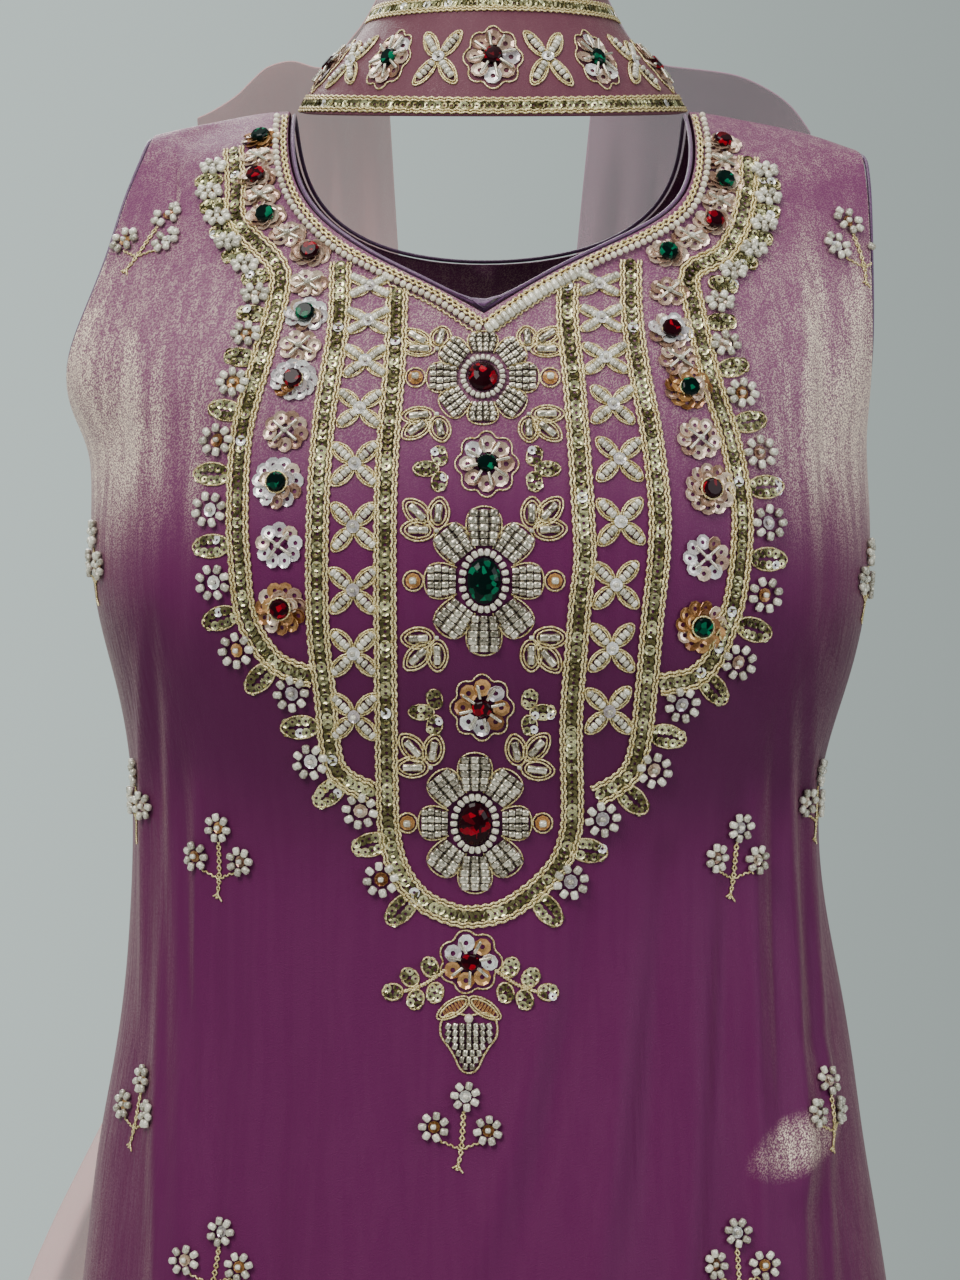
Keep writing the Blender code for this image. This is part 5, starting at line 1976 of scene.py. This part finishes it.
@dataclass
class Edging:
    """Bead flowers and sequin leaves in turn, outside the bands."""

    left: tuple[Place, ...] = (
        (-0.1195, -0.031), (-0.1215, -0.0385), (-0.1175, -0.052), (-0.1085, -0.0715),
        (-0.0985, -0.083), (-0.098, -0.0925), (-0.1015, -0.11), (-0.1065, -0.13), (-0.113, -0.1535),
        (-0.1158, -0.172), (-0.1155, -0.2015), (-0.1135, -0.22), (-0.109, -0.237), (-0.093, -0.2576),
        (-0.079, -0.264), (-0.0775, -0.2791), (-0.0725, -0.2926), (-0.064, -0.3061),
        (-0.0515, -0.3128), (-0.0482, -0.3257), (-0.044, -0.3402), (-0.0354, -0.354),
        (-0.023, -0.361))
    right: tuple[Place, ...] = (
        (0.1237, -0.033), (0.1245, -0.045), (0.121, -0.061), (0.115, -0.073), (0.1045, -0.084),
        (0.101, -0.0965), (0.103, -0.1138), (0.1086, -0.1308), (0.1135, -0.148), (0.1182, -0.1636),
        (0.1203, -0.18), (0.1207, -0.2109), (0.1167, -0.2275), (0.1105, -0.245), (0.096, -0.2615),
        (0.081, -0.269), (0.0765, -0.284), (0.0699, -0.2981), (0.0594, -0.3108), (0.0468, -0.3183),
        (0.0432, -0.3323), (0.0356, -0.3437), (0.027, -0.3543), (0.0143, -0.3612))
    pitch: float = 0.0154
    flower: PearlFlower = PearlFlower()
    leaf: Leaf = Leaf(0.0164, 0.0098, cord=0.001)

    def build(self, ground: Ground) -> None:
        """Sew the edging of both sides.

        Args:
            ground: The front of the kameez.
        """
        needle = Needlework("yoke_edging", ground)
        half = self.leaf.length / 2
        for side, stations in ((-1, self.left), (1, self.right)):
            for number, (x, z, way) in enumerate(walk(stations, self.pitch)):
                spot = eased(needle, x, z)
                if number % 2 == 0:
                    self.flower.work(spot)
                    continue
                way += side * math.pi / 2
                away = math.atan2(math.sin(way) * spot.tall, math.cos(way))
                spot.tall = 0.35 + 0.65 * spot.tall
                a, b = -half * math.cos(away), -half * math.sin(away)
                self.leaf.work(spot.inner(a, b, away))
        needle.finish()


@dataclass
class NeckBeading:
    """Gold cord and pearls along the front neck edge."""

    left: tuple[Place, ...] = ((-0.088, -0.004), (-0.087, -0.022), (-0.083, -0.0405),
                               (-0.0748, -0.0547), (-0.0597, -0.0691), (-0.037, -0.0817),
                               (-0.018, -0.0913), (0.0, -0.1035), (0.0066, -0.1078))
    right: tuple[Place, ...] = ((0.093, -0.004), (0.094, -0.021), (0.0915, -0.0385),
                                (0.0845, -0.0525), (0.0695, -0.063), (0.048, -0.0735),
                                (0.0225, -0.0875), (0.0, -0.1035), (-0.0066, -0.1082))
    cord_inset: float = 0.0017
    pearl_inset: float = 0.005
    pearl: float = 0.0032

    def build(self, ground: Ground) -> None:
        """Sew the edge's beading.

        Args:
            ground: The front of the kameez.
        """
        needle = Needlework("neck_beading", ground)
        spot = Spot(needle, 0.0, 0.0)
        for side, stations in ((-1, self.left), (1, self.right)):
            line = Line(stations)
            for offset, phase in ((self.cord_inset - 0.0007, 0.0),
                                  (self.cord_inset + 0.0007, math.pi)):
                places = line.beside(side * offset, 0.0004, 0.003, phase)
                spot.couch([place for place in places if place[0] * side > 0], 0.0015)
            pearls = [place for place in line.beside(side * self.pearl_inset)
                      if place[0] * side > self.pearl / 3]
            edge = Line((*pearls[::12], pearls[-1]))
            outer = line.beside(side * (self.pearl_inset + 0.0024), 0.0004, 0.003)
            spot.couch([place for place in outer if 0 < place[0] * side < 0.045], 0.0011)
            count = round(edge.length / self.pearl * 1.12)
            for k in range(count):
                distance = edge.length * (k + 0.5) / count
                a, b = edge.at(distance)
                if side > 0 and k > count * 0.66:
                    spot.sew(Trim.BEAD, a, b, (0.0046, 0.0032, 0.0026),
                             turn=edge.direction(distance) + math.pi / 2)
                else:
                    spot.sew(Trim.PEARL, a, b, (self.pearl * 0.9,) + (self.pearl,) * 2,
                             turn=edge.direction(distance), lift=0.0)
        needle.finish()


@dataclass
class Sprigs:
    """Bead sprigs scattered over the kameez in a half-drop repeat."""

    upper: tuple[tuple[float, float], ...] = ((-73.5, -0.063), (77.0, -0.066), (-80.0, -0.205),
                                              (81.0, -0.213), (-78.0, -0.311), (78.0, -0.311))
    first_row: float = -0.333
    row_pitch: float = 0.086
    wide_row: tuple[float, ...] = (-0.114, 0.108)
    full_row: tuple[float, ...] = (-72.0, -5.0, 70.0)
    back_rows: tuple[tuple[float, ...], ...] = ((-52.0, 0.0, 52.0), (-78.0, -26.0, 26.0, 78.0))
    back_first: float = -0.135
    counts: tuple[int, int] = (8, 10)
    full_drop: float = 0.026
    radius: float = 0.15
    sprig: Sprig = Sprig()

    def build(self, front: bpy.types.Object, back: bpy.types.Object) -> None:
        """Sew the sprigs of both panels.

        Args:
            front: Finished front panel.
            back: Finished back panel.
        """
        needle = Needlework("front_sprigs", RoundGround(front, (0.0, 0.0), self.radius))
        for angle, z in self.upper:
            self.sew_at(needle, angle, z)
        for row in range(self.counts[0]):
            z = self.first_row - row * self.row_pitch
            if row % 2:
                for angle in self.full_row:
                    self.sew_at(needle, angle, z - self.full_drop)
            else:
                for x in self.wide_row:
                    y = FrontGround(front).at(x, z)[0].y
                    self.sew_at(needle, math.degrees(math.atan2(x, -y)), z)
        needle.finish()
        behind = RoundGround(back, (0.0, 0.0), self.radius, facing=math.pi)
        needle = Needlework("back_sprigs", behind)
        for row in range(self.counts[1]):
            for angle in self.back_rows[row % 2]:
                self.sew_at(needle, angle, self.back_first - row * self.row_pitch)
        needle.finish()

    def sew_at(self, needle: Needlework, angle: float, z: float) -> None:
        """Sew one sprig at an angle round the body and a height."""
        self.sprig.work(Spot(needle, math.radians(angle) * self.radius, z, true_size=True))


# ------ dupatta
@dataclass
class Dupatta:
    """The wound scarf: its embroidered neck stretch, its shoulders and its tails."""

    axis: Place = (0.004, 0.02)
    motif_height: float = 0.0232
    motif_pitch: float = 19.6
    sag: float = 0.0075
    radius: float = 0.08
    shoulder_creases: Creases = (
        (0.06, 0.052, 0.07, -0.09, 0.004, 0.0014), (0.084, 0.03, 0.096, -0.11, 0.005, -0.0018),
        (0.106, 0.02, 0.124, -0.12, 0.0045, 0.0015))
    tail_creases: Creases = (
        (0.05, -0.15, 0.072, -0.64, 0.007, 0.0036, 0.004),
        (0.072, -0.11, 0.078, -0.39, 0.008, -0.003, 0.003),
        (0.096, -0.26, 0.124, -0.84, 0.0085, -0.0042, -0.006),
        (0.121, -0.14, 0.136, -0.56, 0.0075, 0.0034, 0.004),
        (0.104, -0.48, 0.16, -0.93, 0.01, 0.004, -0.008),
        (0.062, -0.56, 0.088, -0.92, 0.008, -0.0034, 0.005))

    def build(self) -> None:
        """Make all its stretches and the border's embroidery."""
        neck = Cloth("dupatta_neck", MAUVE_TISSUE, self.axis, (0.225, 0.073), "gathered", None,
                     ("dupatta_shoulder_left_cloth",),
                     ((-0.03, 0.06, -0.036, 0.038, 0.004, 0.0008),
                      (0.022, 0.06, 0.03, 0.038, 0.004, -0.0008)), levels=3).build()
        for side, way, finish in (("left", -1, SHEER_ROSE), ("right", 1, SHEER_MAUVE)):
            Cloth(f"dupatta_shoulder_{side}", finish, (0.0, 0.0), (0.155, 0.2), "draped", None,
                  ("kameez_back_cloth",), mirrored(self.shoulder_creases, way)).build()
            Cloth(f"dupatta_tail_{side}", finish, (0.0, 0.0), (0.275, 0.84), "hung", None,
                  (f"dupatta_shoulder_{side}_cloth",), mirrored(self.tail_creases, way)).build()
        self.border(neck)

    def rim(self, height: float, sag: float) -> tuple[Place, ...]:
        """Stations of a line round the neck stretch, as angles times the radius.

        Args:
            height: Its height at the sides.
            sag: How much lower it runs in front.

        Returns:
            The stations.
        """
        stations = []
        for k in range(-8, 9):
            angle = math.radians(86) * k / 8
            stations.append((angle * self.radius, height - sag * math.cos(angle)))
        return tuple(stations)

    def border(self, neck: bpy.types.Object) -> None:
        """Sew the border's two trims and its row of motifs.

        Args:
            neck: The finished neck stretch.
        """
        ground = RoundGround(neck, self.axis, self.radius)
        needle = Needlework("dupatta_border", ground)
        whole = Spot(needle, 0.0, 0.0)
        trim = SequinBand(half_width=0.0032, sequin=0.004, cord=0.0012)
        trim.work(whole, Line(self.rim(0.0072, 0.0142)))
        trim.work(whole, Line(self.rim(0.0472, 0.0055)))
        for place in range(-4, 5):
            angle = math.radians(place * self.motif_pitch)
            z = self.motif_height - self.sag * math.cos(angle)
            spot = Spot(needle, angle * self.radius, z, true_size=True)
            kind = abs(place)
            if kind in (1, 3):
                spot.wide *= 0.86
                spot.tall *= 1.3
                CrossFlower(0.015, 0.0066).work(spot)
            else:
                stone = Trim.EMERALD if kind == 2 else Trim.RUBY
                wide = 0.0262 if kind == 0 else 0.0212
                RayFlower(stone, Trim.ROSE, wide, 0.033).work(spot)
        needle.finish()


# ------ salwar
@dataclass
class Salwar:
    """The plain trousers below the kameez."""

    creases: Creases = (
        (0.12, -0.52, 0.13, -0.9, 0.009, 0.003, 0.004),
        (0.06, -0.64, 0.072, -1.05, 0.009, -0.003, 0.004), (0.14, -0.8, 0.122, -1.23, 0.008, 0.0026),
        (0.086, -0.9, 0.096, -1.24, 0.007, -0.0024))

    def build(self) -> None:
        """Make the belt, both legs and both cuffs."""
        Cloth("salwar_belt", SALWAR_COTTON, (0.0, 0.0), (0.78, 0.102), "gathered").build()
        for side, way in (("left", -1), ("right", 1)):
            Cloth(f"salwar_leg_{side}", SALWAR_COTTON, (way * 0.09, 0.0), (0.56, 0.86), "hung",
                  None, ("salwar_belt_cloth",), mirrored(self.creases, way), tuck=0.005).build()
            Cloth(f"salwar_cuff_{side}", SALWAR_COTTON, (way * 0.1, 0.0), (0.37, 0.05),
                  "gathered", None, (f"salwar_leg_{side}_cloth",), thickness=0.001).build()


# ------ studio
@dataclass
class Studio:
    """Camera, floor and soft light."""

    distance: float = 1.43
    eye_height: float = -0.24
    lens: float = 88.4
    frame_height: float = 36.0
    picture: Place = (960.0, 1280.0)
    shift_pixels: float = -4.0

    def build(self) -> None:
        """Set up the studio."""
        self.camera()
        self.floor()
        self.light("key", (-1.25, -1.8, 1.7), (0.0, -0.05, -0.2), 1.3, 72.0, (1.0, 0.97, 0.93))
        self.light("fill", (1.9, -1.5, 0.3), (0.0, 0.0, -0.35), 1.4, 27.0, (0.93, 0.96, 1.0))
        self.light("top", (0.2, -0.3, 2.2), (0.0, 0.0, -0.1), 1.4, 26.0, (1.0, 0.98, 0.95))
        self.light("back", (-0.7, 1.5, 1.3), (0.0, 0.0, 0.0), 1.2, 36.0, (1.0, 0.98, 0.96))
        bpy.context.scene.world = self.surroundings()

    @staticmethod
    def surroundings() -> bpy.types.World:
        """Soft light all round, strongest from the pale wall and the upper left.

        Returns:
            The world.
        """
        graph = Graph("studio", world=True)
        way = graph.node("TexCoord").outputs["Generated"]
        glow = graph.plus(graph.part(way, "Y"), graph.part(way, "Z"))
        graph.shade(Color=(0.5, 0.585, 0.565),
                    Strength=graph.times(
                        graph.remap(glow, -1.1, 1.2, 0.6, 1.06),
                        graph.remap(graph.part(way, "X"), -0.22, 0.22, 1.22, 0.68)))
        return graph.material

    def camera(self) -> None:
        """Place the camera at eye height, looking straight ahead."""
        camera = bpy.data.cameras.new("camera")
        camera.sensor_fit = "VERTICAL"
        camera.sensor_height = self.frame_height
        camera.lens = self.lens
        camera.shift_x = self.shift_pixels / self.picture[1]
        camera.clip_end = 50.0
        holder = link("camera", camera)
        holder.location = (0.0, -self.distance, self.eye_height)
        holder.rotation_euler = (math.pi / 2, 0.0, 0.0)
        bpy.context.scene.camera = holder

    def floor(self) -> None:
        """Lay a plain pale floor just below the suit."""
        ground = bmesh.new()
        bmesh.ops.create_grid(ground, x_segments=1, y_segments=1, size=2.6)
        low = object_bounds()[0].z - 0.03
        bmesh.ops.translate(ground, verts=ground.verts, vec=(0.0, 0.0, low))
        mesh = bpy.data.meshes.new("floor")
        ground.to_mesh(mesh)
        ground.free()
        floor = link("floor", mesh)
        graph = Graph("pale floor")
        grain = graph.noise((3.0, 3.0, 3.0), 3.0)
        graph.shade(Base_Color=graph.mix(grain, (0.66, 0.66, 0.65), (0.72, 0.72, 0.71)),
                    Roughness=0.85)
        floor.data.materials.append(graph.material)
        floor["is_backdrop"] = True

    @staticmethod
    def light(name: str, place: tuple[float, float, float], target: tuple[float, float, float],
              size: float, power: float, colour: Colour) -> None:
        """Hang one soft square light.

        Args:
            name: Its name.
            place: Where it hangs.
            target: What it points at.
            size: Width in metres.
            power: Watts.
            colour: Colour of its light.
        """
        light = bpy.data.lights.new(name, "AREA")
        light.size = size
        light.energy = power
        light.color = colour
        holder = link(name, light)
        holder.location = place
        aim = Vector(target) - Vector(place)
        holder.rotation_euler = aim.to_track_quat("-Z", "Y").to_euler()


def corners(box: tuple[Vector, Vector]) -> list[list[float]]:
    """A box as plain lists of numbers."""
    return [[round(value, 6) for value in corner] for corner in box]


def main() -> None:
    """Build the suit's looks, piece by piece."""
    logging.basicConfig(level=logging.INFO, format="%(message)s")
    cad_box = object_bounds()
    Studio().build()
    front, back = Kameez().build()
    ground = FrontGround(front)
    Bindings().build()
    GoldBands().build(ground)
    CentreColumn().build(ground)
    CrossColumns().build(ground)
    StoneColumns().build(ground)
    Edging().build(ground)
    NeckBeading().build(ground)
    Sprigs().build(front, back)
    Dupatta().build()
    Salwar().build()
    {"cad": corners(cad_box), "visual": corners(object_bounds())}


if __name__ == "__main__":
    main()
